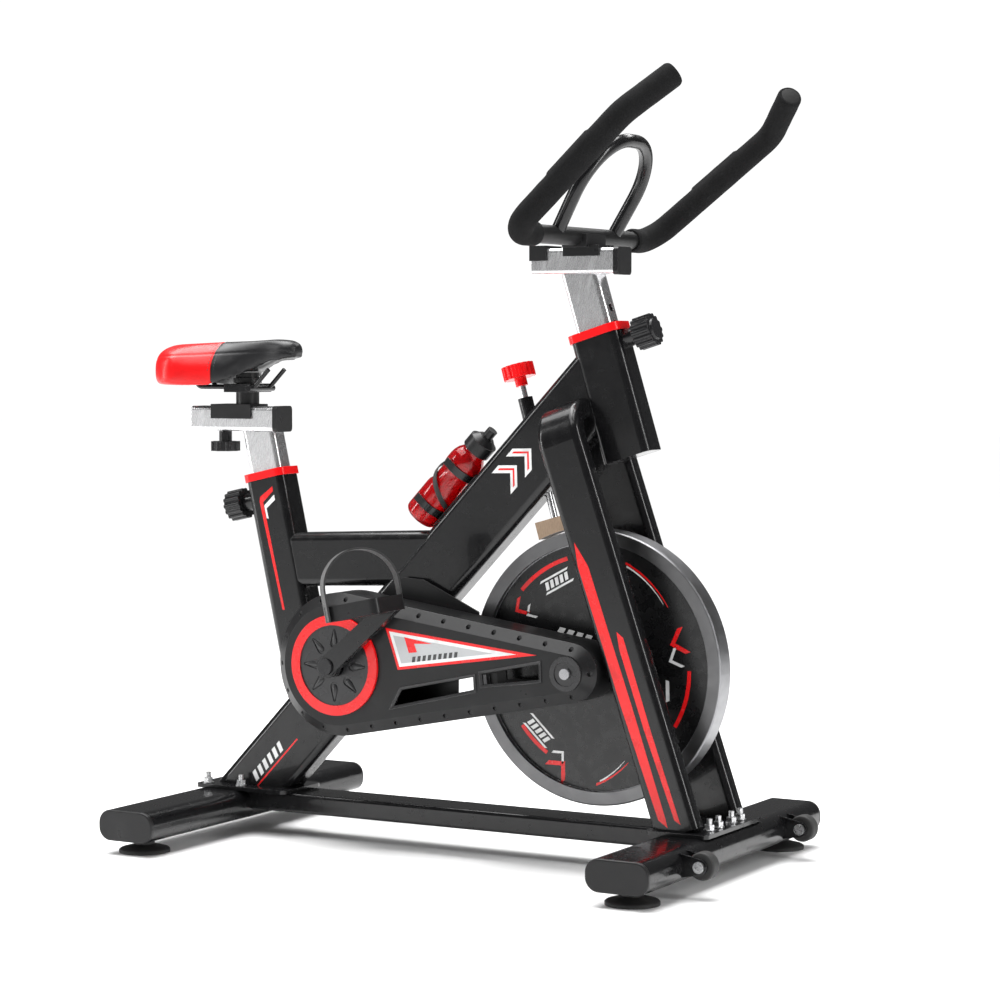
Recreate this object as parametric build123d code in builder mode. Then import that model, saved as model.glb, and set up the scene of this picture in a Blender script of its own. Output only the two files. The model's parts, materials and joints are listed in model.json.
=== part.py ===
"""Indoor spin bike: welded steel frame, belt drive, braked flywheel, adjustable saddle and handlebar.

Millimetres. +X is forward, +Y is the rider's left, +Z is up, and Z = 0 is the floor.
"""

from build123d import *
from math import acos, atan2, cos, degrees, hypot, radians, sin, tan
import os

os.makedirs("parts", exist_ok=True)

# ---------------------------------------------------------------- driving dimensions
WALL = 2.5                    # steel tube wall
CLEAR = 0.4                   # air gap between pieces that slide on each other
FIT = 0.05                    # radial play of a shaft in its bearing

# base
REAR_X = -382.5               # middle of the rear stabiliser
FRONT_X = 430.5               # middle of the front stabiliser
STAB_LENGTH = 576.0
STAB_DEEP = 96.0              # along X
STAB_HIGH = 46.0
STAB_Z = 44.0                 # height of the stabiliser axes
CAP_THICK = 6.0
FOOT_R = 38.0
FOOT_Y = 245.0
BEAM_WIDE = 70.0
BEAM_HIGH = 30.0
BEAM_TOP = 67.0
PLATE_THICK = 6.0

# frame tubes
TUBE_WIDE = 50.0              # seat and head tubes, along Y
MAIN_WIDE = 49.2              # a hair narrower, so that its weld lines show
TOP_WIDE = 48.4
MAIN_DEEP = 100.0
MAIN_POINT = (14.0, 445.0)    # a point on the main tube's axis, X and Z
MAIN_ANGLE = 46.5
SEAT_DEEP = 70.0
SEAT_LEAN = 12.5
SEAT_TOP = (-315.8, 549.0)
HEAD_DEEP = 78.0
HEAD_LEAN = 17.0
HEAD_TOP = (254.3, 765.4)
HEAD_LENGTH = 180.0
TUBE_CORNER = 12.0
TOP_TUBE_DEEP = 82.0
TOP_TUBE_SLOPE = 2.5
TOP_TUBE_POINT = (-145.0, 431.0)
COLLAR_HIGH = 12.0
COLLAR_LIP = 3.0

# fork
LEG_DEEP = 70.0
LEG_THICK = 30.0
LEG_Y = 69.0                  # middle of each leg
LEG_TOP = (276.0, 480.0)
LEG_FOOT = (412.0, 83.0)
SHOULDER_Z = 655.0
SHOULDER_R = 44.0             # bend from the main tube's side down into the leg

# drive
CRANK_AT = (-134.0, 279.0)    # bottom bracket, X and Z
WHEEL_AT = (254.0, 288.0)     # flywheel axle
WHEEL_R = 200.8
WHEEL_THICK = 36.0
RIM_DEEP = 20.0
PULLEY_R = 75.0
SMALL_PULLEY_R = 24.0
PULLEY_Y = -62.0
BELT_WIDE = 12.0
BELT_THICK = 3.0
COVER_FACE_Y = -105.0
COVER_BACK_Y = -34.0
COVER_R = 107.0
COVER_SMALL_R = 43.0
COVER_WALL = 3.0
CRANK_LENGTH = 150.0
CRANK_RISE = 40.7             # angle of the right crank above +X, at rest
CRANK_Y = 125.0
CRANK_THICK = 14.0
AXLE_R = 8.5
PEDAL_Y = 205.0
PEDAL_SIZE = 90.0
PEDAL_THICK = 22.0
STRAP_HIGH = 88.0             # top of the toe strap above the pedal's middle
STRAP_HALF = 57.0
WEB_THICK = 20.0

# posts and heads
POST_DEEP = 58.0
POST_WIDE = 34.0
POST_CORNER = 8.0
SEAT_POST_DEPTH = 190.0       # length of post inside its frame tube
BAR_POST_DEPTH = 145.0
SEAT_HEAD_X = (-453.0, -301.0)
SEAT_HEAD_Z = (622.0, 660.0)
SLIDER_X = -377.0             # middle of the saddle's slider at rest
SCREW_X = -403.0              # the slider's clamping screw at rest
STUB_X = -361.0               # the saddle's short upright stub
STUB_R = 18.0
SLIDER_SCREW_R = 5.0
SLIDE_SLOT = 64.0
SLIDE_SLOT_X = -409.0
BAR_HEAD_X = (152.0, 285.0)
BAR_HEAD_Z = (856.0, 894.0)
HEAD_WIDE = 42.0

# handlebar
BAR_R = 13.5
GRIP_R = 16.0
BAR_X = 227.0
BAR_Z = 910.0
BAR_Y = 215.0                 # corner of the bar
ARM_TOP = (412.0, 245.0, 1064.0)
ARM_END = (465.0, 194.6, 1117.7)
BAR_BEND = 46.0
GRIP_START_Y = 150.0          # where the foam begins on the cross bar
LOOP_R = 10.0
LOOP_BEND = 84.0

# brake
KNOB_TOP = (116.6, 725.0)
BRAKE_LEAN = 15.8
BRAKE_ROD_R = 5.0

# pop pins, bosses and bearings
PIN_R = 6.0
BOSS_R = 13.5
BOSS_LONG = 18.0
SHELL_R = 22.0
BEARING_R = 17.0
KNOB_R = 24.0
KNOB_LONG = 28.0
KNOB_RIBS = 14
SEAT_PIN_DROP = 28.0          # pin height below the tube's mouth
HEAD_PIN_DROP = 14.0

# bottle
BOTTLE_FOOT = (-48.0, 498.0)
BOTTLE_R = 27.0
BOTTLE_LENGTH = 180.0
CAGE_DROP = 31.5              # from the bottle's axis down to the main tube

TRANSPORT_X = 502.5
TRANSPORT_Y = 172.0
TRANSPORT_Z = 47.0
TRANSPORT_R = 19.5


# ---------------------------------------------------------------- shared helpers
def save(builder, name):
    """Label a finished piece and write it to its own file."""
    builder.part.label = name
    export_step(builder.part, f"parts/{name}.step")


def leaning(point, lean, y=0.0):
    """Plane square to a tube that leans back by an angle: its normal is the tube's axis, X is forward."""
    turn = radians(lean)
    return Plane(
        origin=(point[0], y, point[1]),
        x_dir=(cos(turn), 0, sin(turn)),
        z_dir=(-sin(turn), 0, cos(turn)),
    )


def side(y):
    """Plane parallel to the bike's side, seen from the right: sketch X is forward and sketch Y is up."""
    return Plane(origin=(0, y, 0), x_dir=(1, 0, 0), z_dir=(0, -1, 0))


def square_to_side(x, y, z):
    """Plane at a point with its normal along +Y, for axles and discs."""
    return Plane(origin=(x, y, z), x_dir=(1, 0, 0), z_dir=(0, 1, 0))


def tube(plane, low, high, deep, wide, corner=TUBE_CORNER, wall=WALL, mode=Mode.ADD):
    """Rounded rectangular tube along a plane's normal; wall 0 makes it solid."""
    with BuildSketch(plane.offset(low)) as section:
        RectangleRounded(deep, wide, corner)
        if wall:
            RectangleRounded(deep - 2 * wall, wide - 2 * wall, corner - wall, mode=Mode.SUBTRACT)
    extrude(section.sketch, amount=high - low, mode=mode)


def rod(plane, radius, low, high, mode=Mode.ADD):
    """Round bar along a plane's normal from height low to height high."""
    with Locations(plane.offset(low)):
        Cylinder(radius, high - low, align=(Align.CENTER, Align.CENTER, Align.MIN), mode=mode)


def block(low, high, mode=Mode.ADD):
    """Box between two corners."""
    size = [b - a for a, b in zip(low, high)]
    with Locations(tuple((a + b) / 2 for a, b in zip(low, high))):
        Box(*size, mode=mode)


def along(angle, distance, point):
    """Point at a distance from another, in the X and Z plane, at an angle above +X."""
    turn = radians(angle)
    return (point[0] + distance * cos(turn), point[1] + distance * sin(turn))


# planes of the leaning tubes
SEAT_PLANE = leaning(SEAT_TOP, SEAT_LEAN)
HEAD_PLANE = leaning(HEAD_TOP, HEAD_LEAN)
MAIN_PLANE = leaning(MAIN_POINT, MAIN_ANGLE - 90)
BRAKE_PLANE = leaning(KNOB_TOP, BRAKE_LEAN)
MAIN_PLANE_TOP = Plane(
    MAIN_PLANE.origin - MAIN_PLANE.x_dir * MAIN_DEEP / 2, x_dir=(0, 1, 0), z_dir=-MAIN_PLANE.x_dir
)
HEAD_REAR = Plane(
    HEAD_PLANE.origin - HEAD_PLANE.x_dir * (HEAD_DEEP / 2 - TUBE_CORNER), z_dir=HEAD_PLANE.x_dir
)
TOP_TUBE_PLANE = leaning(TOP_TUBE_POINT, TOP_TUBE_SLOPE - 90)
SEAT_PIN = Plane(
    SEAT_PLANE.origin - SEAT_PLANE.z_dir * SEAT_PIN_DROP, x_dir=(0, 1, 0), z_dir=-SEAT_PLANE.x_dir
)
HEAD_PIN = Plane(
    HEAD_PLANE.origin - HEAD_PLANE.z_dir * HEAD_PIN_DROP, x_dir=(0, 1, 0), z_dir=HEAD_PLANE.x_dir
)
PLATE_TOP = BEAM_TOP + PLATE_THICK
LEG_LEAN = degrees(atan2(LEG_FOOT[0] - LEG_TOP[0], LEG_TOP[1] - LEG_FOOT[1]))
FEET = [(x, y) for x in (REAR_X, FRONT_X) for y in (-FOOT_Y, FOOT_Y)]
REAR_BOLTS = [(REAR_X + x, y) for x in (-30, 32) for y in (-38, 38)]
FRONT_BOLTS = [(FRONT_X + 24, y) for y in (-52, -22, 22, 52)]
BOLT_R = 4.0
STEM_R = 5.0


# ---------------------------------------------------------------- base
def stabiliser(x, wall=WALL, mode=Mode.ADD):
    """Flat-oval cross tube at one end of the base."""
    tube(Plane(origin=(x, 0, STAB_Z), x_dir=(1, 0, 0), z_dir=(0, -1, 0)),
         -STAB_LENGTH / 2, STAB_LENGTH / 2, STAB_DEEP, STAB_HIGH, 20.0, wall, mode)


with BuildPart() as stabilisers:
    for x in (REAR_X, FRONT_X):
        stabiliser(x)
    for x, y in FEET:
        rod(Plane((x, y, 0)), STEM_R + FIT, 0, STAB_Z, Mode.SUBTRACT)
    for x, y in REAR_BOLTS + FRONT_BOLTS:
        rod(Plane((x, y, 0)), BOLT_R + CLEAR, STAB_Z, PLATE_TOP, Mode.SUBTRACT)
save(stabilisers, "stabilisers")

with BuildPart() as stabiliser_caps:
    for x in (REAR_X, FRONT_X):
        for face in (-1, 1):
            outside = Plane(origin=(x, face * STAB_LENGTH / 2, STAB_Z), x_dir=(1, 0, 0), z_dir=(0, face, 0))
            tube(outside, 0, CAP_THICK, STAB_DEEP, STAB_HIGH, 20.0, 0)
            tube(outside, -14, 0, STAB_DEEP - 2 * WALL - CLEAR, STAB_HIGH - 2 * WALL - CLEAR, 17.0, 0)
    rims = stabiliser_caps.faces().filter_by(Axis.Y).group_by(SortBy.AREA)[-1].edges()
    fillet(rims, 2.5)
save(stabiliser_caps, "stabiliser_caps")

with BuildPart() as base_beam:
    tube(Plane(origin=(REAR_X + 40, 0, BEAM_TOP - BEAM_HIGH / 2), x_dir=(0, 0, 1), z_dir=(1, 0, 0)),
         0, FRONT_X - REAR_X - 80, BEAM_HIGH, BEAM_WIDE, 5.0)
    for x in (REAR_X, FRONT_X):
        stabiliser(x, 0, Mode.SUBTRACT)
save(base_beam, "base_beam")

with BuildPart() as mount_plates:
    for low, high, half, bolts in (
        (REAR_X - 46, REAR_X + 122, 52, REAR_BOLTS),
        (FRONT_X - 56, FRONT_X + 40, 96, FRONT_BOLTS),
    ):
        with BuildSketch(Plane.XY.offset(BEAM_TOP)) as outline:
            with Locations(((low + high) / 2, 0)):
                RectangleRounded(high - low, 2 * half, 10)
            with Locations(bolts):
                Circle(BOLT_R + CLEAR, mode=Mode.SUBTRACT)
        extrude(outline.sketch, amount=PLATE_THICK)
save(mount_plates, "mount_plates")

WHEEL_SIDES = (("right", -TRANSPORT_Y), ("left", TRANSPORT_Y))
with BuildPart() as frame_bolts:
    for x, y in REAR_BOLTS + FRONT_BOLTS:
        rod(Plane((x, y, 0)), BOLT_R, STAB_Z + 5, PLATE_TOP + 17)
        rod(Plane((x, y, 0)), 9.0, PLATE_TOP, PLATE_TOP + 1.6)
        with BuildSketch(Plane.XY.offset(PLATE_TOP + 1.6)) as hexagon:
            with Locations((x, y)):
                RegularPolygon(7.5, 6)
        extrude(hexagon.sketch, amount=7)
    for _, y in WHEEL_SIDES:
        axle = square_to_side(TRANSPORT_X, y, TRANSPORT_Z)
        rod(axle, BOLT_R, -18, 18)
        for low in (-19.5, 15.2):
            rod(axle, 8.0, low, low + 4.3)
save(frame_bolts, "frame_bolts")

for number, (x, y) in enumerate(FEET, start=1):
    with BuildPart() as levelling_foot:
        with BuildSketch(Plane(origin=(x, y, 0), x_dir=(1, 0, 0), z_dir=(0, -1, 0))) as half_profile:
            with BuildLine() as outline:
                Polyline((0, STAB_Z + 6), (STEM_R, STAB_Z + 6), (STEM_R, 17), (15, 17), (15, 12))
                Line((15, 12), (FOOT_R - 2, 6))
                Polyline((FOOT_R - 2, 6), (FOOT_R, 4), (FOOT_R, 0), (0, 0), (0, STAB_Z + 6))
            make_face()
        revolve(half_profile.sketch, axis=Axis((x, y, 0), (0, 0, 1)))
    save(levelling_foot, f"levelling_foot_{number}")

with BuildPart() as wheel_brackets:
    for _, y in WHEEL_SIDES:
        for ear in (-1, 1):
            middle = y + ear * 13.5
            with BuildSketch(side(middle + 1.5)) as plate:
                with Locations((TRANSPORT_X, TRANSPORT_Z)):
                    Circle(11)
                with Locations((FRONT_X + STAB_DEEP / 2 - 12, STAB_Z + 3)):
                    Rectangle(10, 34)
                make_hull()
                with Locations((TRANSPORT_X, TRANSPORT_Z)):
                    Circle(BOLT_R + CLEAR, mode=Mode.SUBTRACT)
            extrude(plate.sketch, amount=3)
    stabiliser(FRONT_X, 0, Mode.SUBTRACT)
save(wheel_brackets, "wheel_brackets")

for name, y in WHEEL_SIDES:
    with BuildPart() as transport_wheel:
        axle = square_to_side(TRANSPORT_X, y, TRANSPORT_Z)
        rod(axle, TRANSPORT_R, -10, 10)
        rod(axle, BOLT_R + FIT, -10, 10, Mode.SUBTRACT)
        rims = transport_wheel.edges().filter_by(GeomType.CIRCLE).sort_by(SortBy.RADIUS)[-2:]
        fillet(rims, 3)
    save(transport_wheel, f"transport_wheel_{name}")

# ---------------------------------------------------------------- welded frame
def head_envelope(mode=Mode.SUBTRACT):
    """Outside of the head tube, filled."""
    tube(HEAD_PLANE, -HEAD_LENGTH, 0, HEAD_DEEP, TUBE_WIDE, wall=0, mode=mode)


def seat_envelope(mode=Mode.SUBTRACT):
    """Outside of the seat tube, filled."""
    tube(SEAT_PLANE, -340, 0, SEAT_DEEP, TUBE_WIDE, wall=0, mode=mode)


def main_envelope(mode=Mode.SUBTRACT):
    """Outside of the main tube, filled."""
    tube(MAIN_PLANE, -560, 400, MAIN_DEEP, MAIN_WIDE, wall=0, mode=mode)


def brake_bore(radius):
    """Hole along the brake screw, through the main tube."""
    rod(BRAKE_PLANE, radius, -230, -40, Mode.SUBTRACT)


with BuildPart() as head_tube:
    tube(HEAD_PLANE, -HEAD_LENGTH, 0, HEAD_DEEP, TUBE_WIDE)
    tube(HEAD_PLANE, -HEAD_LENGTH, WALL - HEAD_LENGTH, HEAD_DEEP, TUBE_WIDE, wall=0)
    rod(HEAD_PIN, PIN_R + FIT, 20, 80, Mode.SUBTRACT)
save(head_tube, "head_tube")

with BuildPart() as main_tube:
    tube(MAIN_PLANE, -560, 400, MAIN_DEEP, MAIN_WIDE)
    split(bisect_by=HEAD_REAR, keep=Keep.BOTTOM)
    split(bisect_by=Plane.XY.offset(PLATE_TOP), keep=Keep.TOP)
    head_envelope()
    rod(square_to_side(CRANK_AT[0], 0, CRANK_AT[1]), SHELL_R, -60, 60, Mode.SUBTRACT)
    brake_bore(BRAKE_ROD_R + CLEAR)
save(main_tube, "main_tube")

with BuildPart() as seat_tube:
    tube(SEAT_PLANE, -340, 0, SEAT_DEEP, TUBE_WIDE)
    split(bisect_by=MAIN_PLANE_TOP, keep=Keep.TOP)
    rod(SEAT_PIN, PIN_R + FIT, 20, 80, Mode.SUBTRACT)
save(seat_tube, "seat_tube")

with BuildPart() as top_tube:
    tube(TOP_TUBE_PLANE, -170, 200, TOP_TUBE_DEEP, TOP_WIDE)
    seat_envelope()
    main_envelope()
    keep_middle = top_tube.solids().sort_by(SortBy.VOLUME)[-1]
    add(keep_middle, mode=Mode.REPLACE)
save(top_tube, "top_tube")

with BuildPart() as tube_collars:
    for plane, deep in ((SEAT_PLANE, SEAT_DEEP), (HEAD_PLANE, HEAD_DEEP)):
        tube(plane, 0, COLLAR_HIGH, deep + 2 * COLLAR_LIP, TUBE_WIDE + 2 * COLLAR_LIP, TUBE_CORNER + 2, 0)
        tube(plane, -1, COLLAR_HIGH + 1, POST_DEEP + 2 * CLEAR, POST_WIDE + 2 * CLEAR,
             POST_CORNER + CLEAR, 0, Mode.SUBTRACT)
save(tube_collars, "tube_collars")

with BuildPart() as threaded_bosses:
    for plane, face in ((SEAT_PIN, SEAT_DEEP / 2), (HEAD_PIN, HEAD_DEEP / 2)):
        rod(plane, BOSS_R, face, face + BOSS_LONG)
        rod(plane, PIN_R + FIT, face - 1, face + BOSS_LONG + 1, Mode.SUBTRACT)
    rod(BRAKE_PLANE, 11.0, -95, -50)
    main_envelope()
    brake_bore(BRAKE_ROD_R + FIT)
    shell = square_to_side(CRANK_AT[0], 0, CRANK_AT[1])
    rod(shell, SHELL_R, -32, 32)
    rod(shell, BEARING_R, -33, 33, Mode.SUBTRACT)
save(threaded_bosses, "threaded_bosses")

# fork: each leg leaves the main tube's side, turns down through the shoulder and ends on the front plate
LEG_LONG = 620.0
for name, hand in (("right", -1), ("left", 1)):
    start = (LEG_TOP[0] - (SHOULDER_Z - LEG_TOP[1]) * tan(radians(LEG_LEAN)), SHOULDER_Z)
    down = (sin(radians(LEG_LEAN)), 0, -cos(radians(LEG_LEAN)))
    across = (cos(radians(LEG_LEAN)), 0, sin(radians(LEG_LEAN)))
    corner = Vector(start[0], hand * LEG_Y, start[1])
    with BuildPart() as fork_leg:
        with BuildLine() as route:
            FilletPolyline(
                Vector(start[0], hand * MAIN_WIDE / 2, start[1]),
                corner,
                corner + Vector(*down) * LEG_LONG,
                radius=SHOULDER_R,
            )
        with BuildSketch(Plane(route.line @ 0, x_dir=across, z_dir=route.line % 0)) as section:
            RectangleRounded(LEG_DEEP, LEG_THICK, 11)
            RectangleRounded(LEG_DEEP - 2 * WALL, LEG_THICK - 2 * WALL, 11 - WALL, mode=Mode.SUBTRACT)
        sweep(section.sketch, path=route.line)
        split(bisect_by=Plane.XY.offset(PLATE_TOP), keep=Keep.TOP)
        head_envelope()
    save(fork_leg, f"fork_leg_{name}")

with BuildPart() as dropout_plates:
    for hand in (-1, 1):
        leg_x = LEG_TOP[0] + (LEG_TOP[1] - WHEEL_AT[1]) * tan(radians(LEG_LEAN))
        inner = hand * 25 if hand > 0 else hand * 31
        with BuildSketch(side(inner + 6)) as plate:
            with Locations(WHEEL_AT):
                Circle(23)
            with Locations((leg_x - 8, WHEEL_AT[1])):
                Rectangle(36, 64)
            make_hull()
        extrude(plate.sketch, amount=6)
        near, far = sorted((hand * 30, hand * (LEG_Y - LEG_THICK / 2)))
        block((leg_x - 26, near, WHEEL_AT[1] - 26), (leg_x + 8, far, WHEEL_AT[1] + 26))
        axle = square_to_side(WHEEL_AT[0], 0, WHEEL_AT[1])
        rod(axle, 23.0, *sorted((hand * 23, hand * 33)))
        rod(axle, BEARING_R, *sorted((hand * 20, hand * 40)), Mode.SUBTRACT)
save(dropout_plates, "dropout_plates")

with BuildPart() as bearings:
    for centre, inner, outer in ((WHEEL_AT, 23.5, 32.5), (CRANK_AT, 20.0, 31.0)):
        for hand in (-1, 1):
            axle = square_to_side(centre[0], 0, centre[1])
            rod(axle, BEARING_R, *sorted((hand * inner, hand * outer)))
            rod(axle, AXLE_R + FIT, *sorted((hand * (inner - 1), hand * (outer + 1))), Mode.SUBTRACT)
save(bearings, "bearings")

# ---------------------------------------------------------------- drive
def cover_outline(grow):
    """Cover's outline: the hull of a large and a small circle, grown or shrunk by an amount."""
    with Locations(CRANK_AT):
        Circle(COVER_R + grow)
    with Locations(WHEEL_AT):
        Circle(COVER_SMALL_R + grow)
    make_hull()


def cut_windows(windows, y):
    """Cut long windows from a plane at y outwards."""
    for window in windows:
        with BuildSketch(side(y)) as opening:
            with BuildLine():
                Polyline(*window, close=True)
            make_face()
        extrude(opening.sketch, amount=40, mode=Mode.SUBTRACT)


def screw_places():
    """Points along the middle of the cover's bevel, about one pitch apart."""
    big = COVER_R - FACE_BEVEL / 2
    small = COVER_SMALL_R - FACE_BEVEL / 2
    run, rise = WHEEL_AT[0] - CRANK_AT[0], WHEEL_AT[1] - CRANK_AT[1]
    span = hypot(run, rise)
    tilt = degrees(atan2(rise, run))
    fan = degrees(acos((big - small) / span))
    places = []
    steps = round(span / SCREW_PITCH)
    for step in range(steps + 1):
        share = step / steps
        centre = (CRANK_AT[0] + run * share, CRANK_AT[1] + rise * share)
        for hand in (-1, 1):
            places.append(along(tilt + hand * fan, big + (small - big) * share, centre))
    back = 360 - 2 * fan
    steps = round(radians(back) * big / SCREW_PITCH)
    for step in range(1, steps):
        places.append(along(tilt + fan + back * step / steps, big, CRANK_AT))
    places.append(along(tilt, small, WHEEL_AT))
    return places


FRONT_WINDOW = ((117, 280.5), (118.5, 264.5), (210.5, 277), (209.5, 299))
REAR_WINDOW = ((-18.5, 249), (-32, 224.5), (103, 256), (102, 274.5))
REAR_WINDOW_IN_BACK = ((36, 260.5), (36, 240.4), (103, 256), (102, 274.5))
DISC_R = 60.0                 # dimpled disc inside the red ring
RING_R = 75.0
CAP_R = 22.0
SCREW_R = 3.0
FACE_BEVEL = 17.0
BEVEL_DEEP = 13.0
SCREW_PITCH = 41.0

with BuildPart() as cover_shell:
    for inset, mode in ((0, Mode.ADD), (COVER_WALL, Mode.SUBTRACT)):
        with BuildSketch(side(COVER_BACK_Y)) as wide:
            cover_outline(-inset)
        straight = COVER_BACK_Y - COVER_FACE_Y - BEVEL_DEEP - inset
        extrude(wide.sketch, amount=straight, mode=mode)
        with BuildSketch(side(COVER_BACK_Y - straight)) as shoulder:
            cover_outline(-inset)
        with BuildSketch(side(COVER_BACK_Y - straight - BEVEL_DEEP)) as face:
            cover_outline(-inset - FACE_BEVEL)
        loft([shoulder.sketch.face(), face.sketch.face()], mode=mode)
    cut_windows((FRONT_WINDOW, REAR_WINDOW), COVER_FACE_Y + 20)
    rod(square_to_side(CRANK_AT[0], COVER_FACE_Y, CRANK_AT[1]), DISC_R - 6, -20, 20, Mode.SUBTRACT)
    rod(square_to_side(WHEEL_AT[0], COVER_FACE_Y, WHEEL_AT[1]), CAP_R, -20, 20, Mode.SUBTRACT)
    for x, z in screw_places():
        rod(square_to_side(x, COVER_FACE_Y, z), SCREW_R + CLEAR, -5, 20, Mode.SUBTRACT)
save(cover_shell, "cover_shell")

with BuildPart() as cover_back:
    with BuildSketch(side(COVER_BACK_Y + 3)) as plate:
        cover_outline(0)
    extrude(plate.sketch, amount=3)
    with BuildSketch(side(COVER_BACK_Y + 3)) as hump:
        with BuildLine():
            Polyline((-112, 352), (-84, 396), (-58, 408), (-24, 406), (71, 362), (71, 320), close=True)
        make_face()
    extrude(hump.sketch, amount=3)
    cut_windows((FRONT_WINDOW, REAR_WINDOW_IN_BACK), COVER_BACK_Y + 10)
    rod(square_to_side(CRANK_AT[0], COVER_BACK_Y, CRANK_AT[1]), SHELL_R + 1, -9, 9, Mode.SUBTRACT)
    rod(square_to_side(WHEEL_AT[0], COVER_BACK_Y, WHEEL_AT[1]), 24, -9, 9, Mode.SUBTRACT)
save(cover_back, "cover_back")

with BuildPart() as cover_trim:
    with BuildSketch(side(COVER_FACE_Y)) as plate:
        with Locations(CRANK_AT):
            Circle(RING_R)
            Circle(AXLE_R + 8, mode=Mode.SUBTRACT)
    extrude(plate.sketch, amount=2.5)
    with BuildSketch(side(COVER_FACE_Y - 2.5)) as ring:
        with Locations(CRANK_AT):
            Circle(RING_R)
            Circle(DISC_R, mode=Mode.SUBTRACT)
    extrude(ring.sketch, amount=2)
    for turn in range(0, 360, 45):
        with BuildSketch(side(COVER_FACE_Y - 1.0)) as dimple:
            with Locations(along(turn, 32, CRANK_AT)):
                Circle(7)
            with Locations(along(turn, 52, CRANK_AT)):
                Circle(2)
            make_hull()
        extrude(dimple.sketch, amount=10, mode=Mode.SUBTRACT)
    cap_axis = square_to_side(WHEEL_AT[0], COVER_FACE_Y, WHEEL_AT[1])
    rod(cap_axis, CAP_R - 0.5, -1, COVER_WALL)
    rod(cap_axis, CAP_R + 3, -3, 0)
    rod(cap_axis, CAP_R - 4, -4, -1.5, Mode.SUBTRACT)
    rod(cap_axis, 8.0, -6, 0)
save(cover_trim, "cover_trim")

with BuildPart() as cover_screws:
    for x, z in screw_places():
        screw = square_to_side(x, COVER_FACE_Y, z)
        rod(screw, SCREW_R, 9, 12)
        rod(screw, 1.6, 11, 40)
save(cover_screws, "cover_screws")

# ---------------------------------------------------------------- cranks, pulleys and flywheel
def pulley(centre, radius, bore):
    """Flat-belt pulley with a flange at each side."""
    axle = square_to_side(centre[0], PULLEY_Y, centre[1])
    half = BELT_WIDE / 2 + 1
    rod(axle, radius, -half, half)
    for low in (-half - 2, half):
        rod(axle, radius + BELT_THICK + 1, low, low + 2)
    rod(axle, bore, -40, 40, Mode.SUBTRACT)


PEDAL_SIDES = (("right", -1, CRANK_RISE), ("left", 1, CRANK_RISE + 180))
PEDAL_AT = {name: along(turn, CRANK_LENGTH, CRANK_AT) for name, _, turn in PEDAL_SIDES}
PEDAL_AXLE_R = 6.0
PEDAL_TILT = 12.0

with BuildPart() as crank_axle:
    rod(square_to_side(CRANK_AT[0], 0, CRANK_AT[1]), AXLE_R, -CRANK_Y - 8, CRANK_Y + 8)
    rod(square_to_side(CRANK_AT[0], 0, CRANK_AT[1]), 13.0, 36, 44)
    for hand in (-1, 1):
        rod(square_to_side(CRANK_AT[0], 0, CRANK_AT[1]), 12.0,
            *sorted((hand * (CRANK_Y + 7), hand * (CRANK_Y + 11))))
save(crank_axle, "crank_axle")

with BuildPart() as drive_pulley:
    pulley(CRANK_AT, PULLEY_R, AXLE_R)
    for turn in range(0, 360, 60):
        x, z = along(turn, 48, CRANK_AT)
        rod(square_to_side(x, PULLEY_Y, z), 16, -40, 40, Mode.SUBTRACT)
save(drive_pulley, "drive_pulley")

with BuildPart() as crank_arms:
    for _, hand, turn in PEDAL_SIDES:
        with BuildSketch(side(hand * CRANK_Y + CRANK_THICK / 2)) as arm:
            with Locations(CRANK_AT):
                Circle(15)
            with Locations(along(turn, CRANK_LENGTH, CRANK_AT)):
                Circle(12)
            make_hull()
            with Locations(CRANK_AT):
                Circle(AXLE_R, mode=Mode.SUBTRACT)
            with Locations(along(turn, CRANK_LENGTH, CRANK_AT)):
                Circle(PEDAL_AXLE_R, mode=Mode.SUBTRACT)
        extrude(arm.sketch, amount=CRANK_THICK)
        rod(square_to_side(CRANK_AT[0], 0, CRANK_AT[1]), 17.5,
            *sorted((hand * (CRANK_Y - CRANK_THICK / 2 - 3), hand * (CRANK_Y + 3))))
        rod(square_to_side(CRANK_AT[0], 0, CRANK_AT[1]), AXLE_R, *sorted((0, hand * 140)), Mode.SUBTRACT)
save(crank_arms, "crank_arms")

with BuildPart() as pedal_axles:
    for name, hand, _ in PEDAL_SIDES:
        axle = square_to_side(PEDAL_AT[name][0], 0, PEDAL_AT[name][1])
        rod(axle, PEDAL_AXLE_R, *sorted((hand * (CRANK_Y - 6), hand * (PEDAL_Y + 36))))
        rod(axle, 9.0, *sorted((hand * (CRANK_Y + CRANK_THICK / 2), hand * (CRANK_Y + CRANK_THICK / 2 + 6))))
save(pedal_axles, "pedal_axles")

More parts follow.
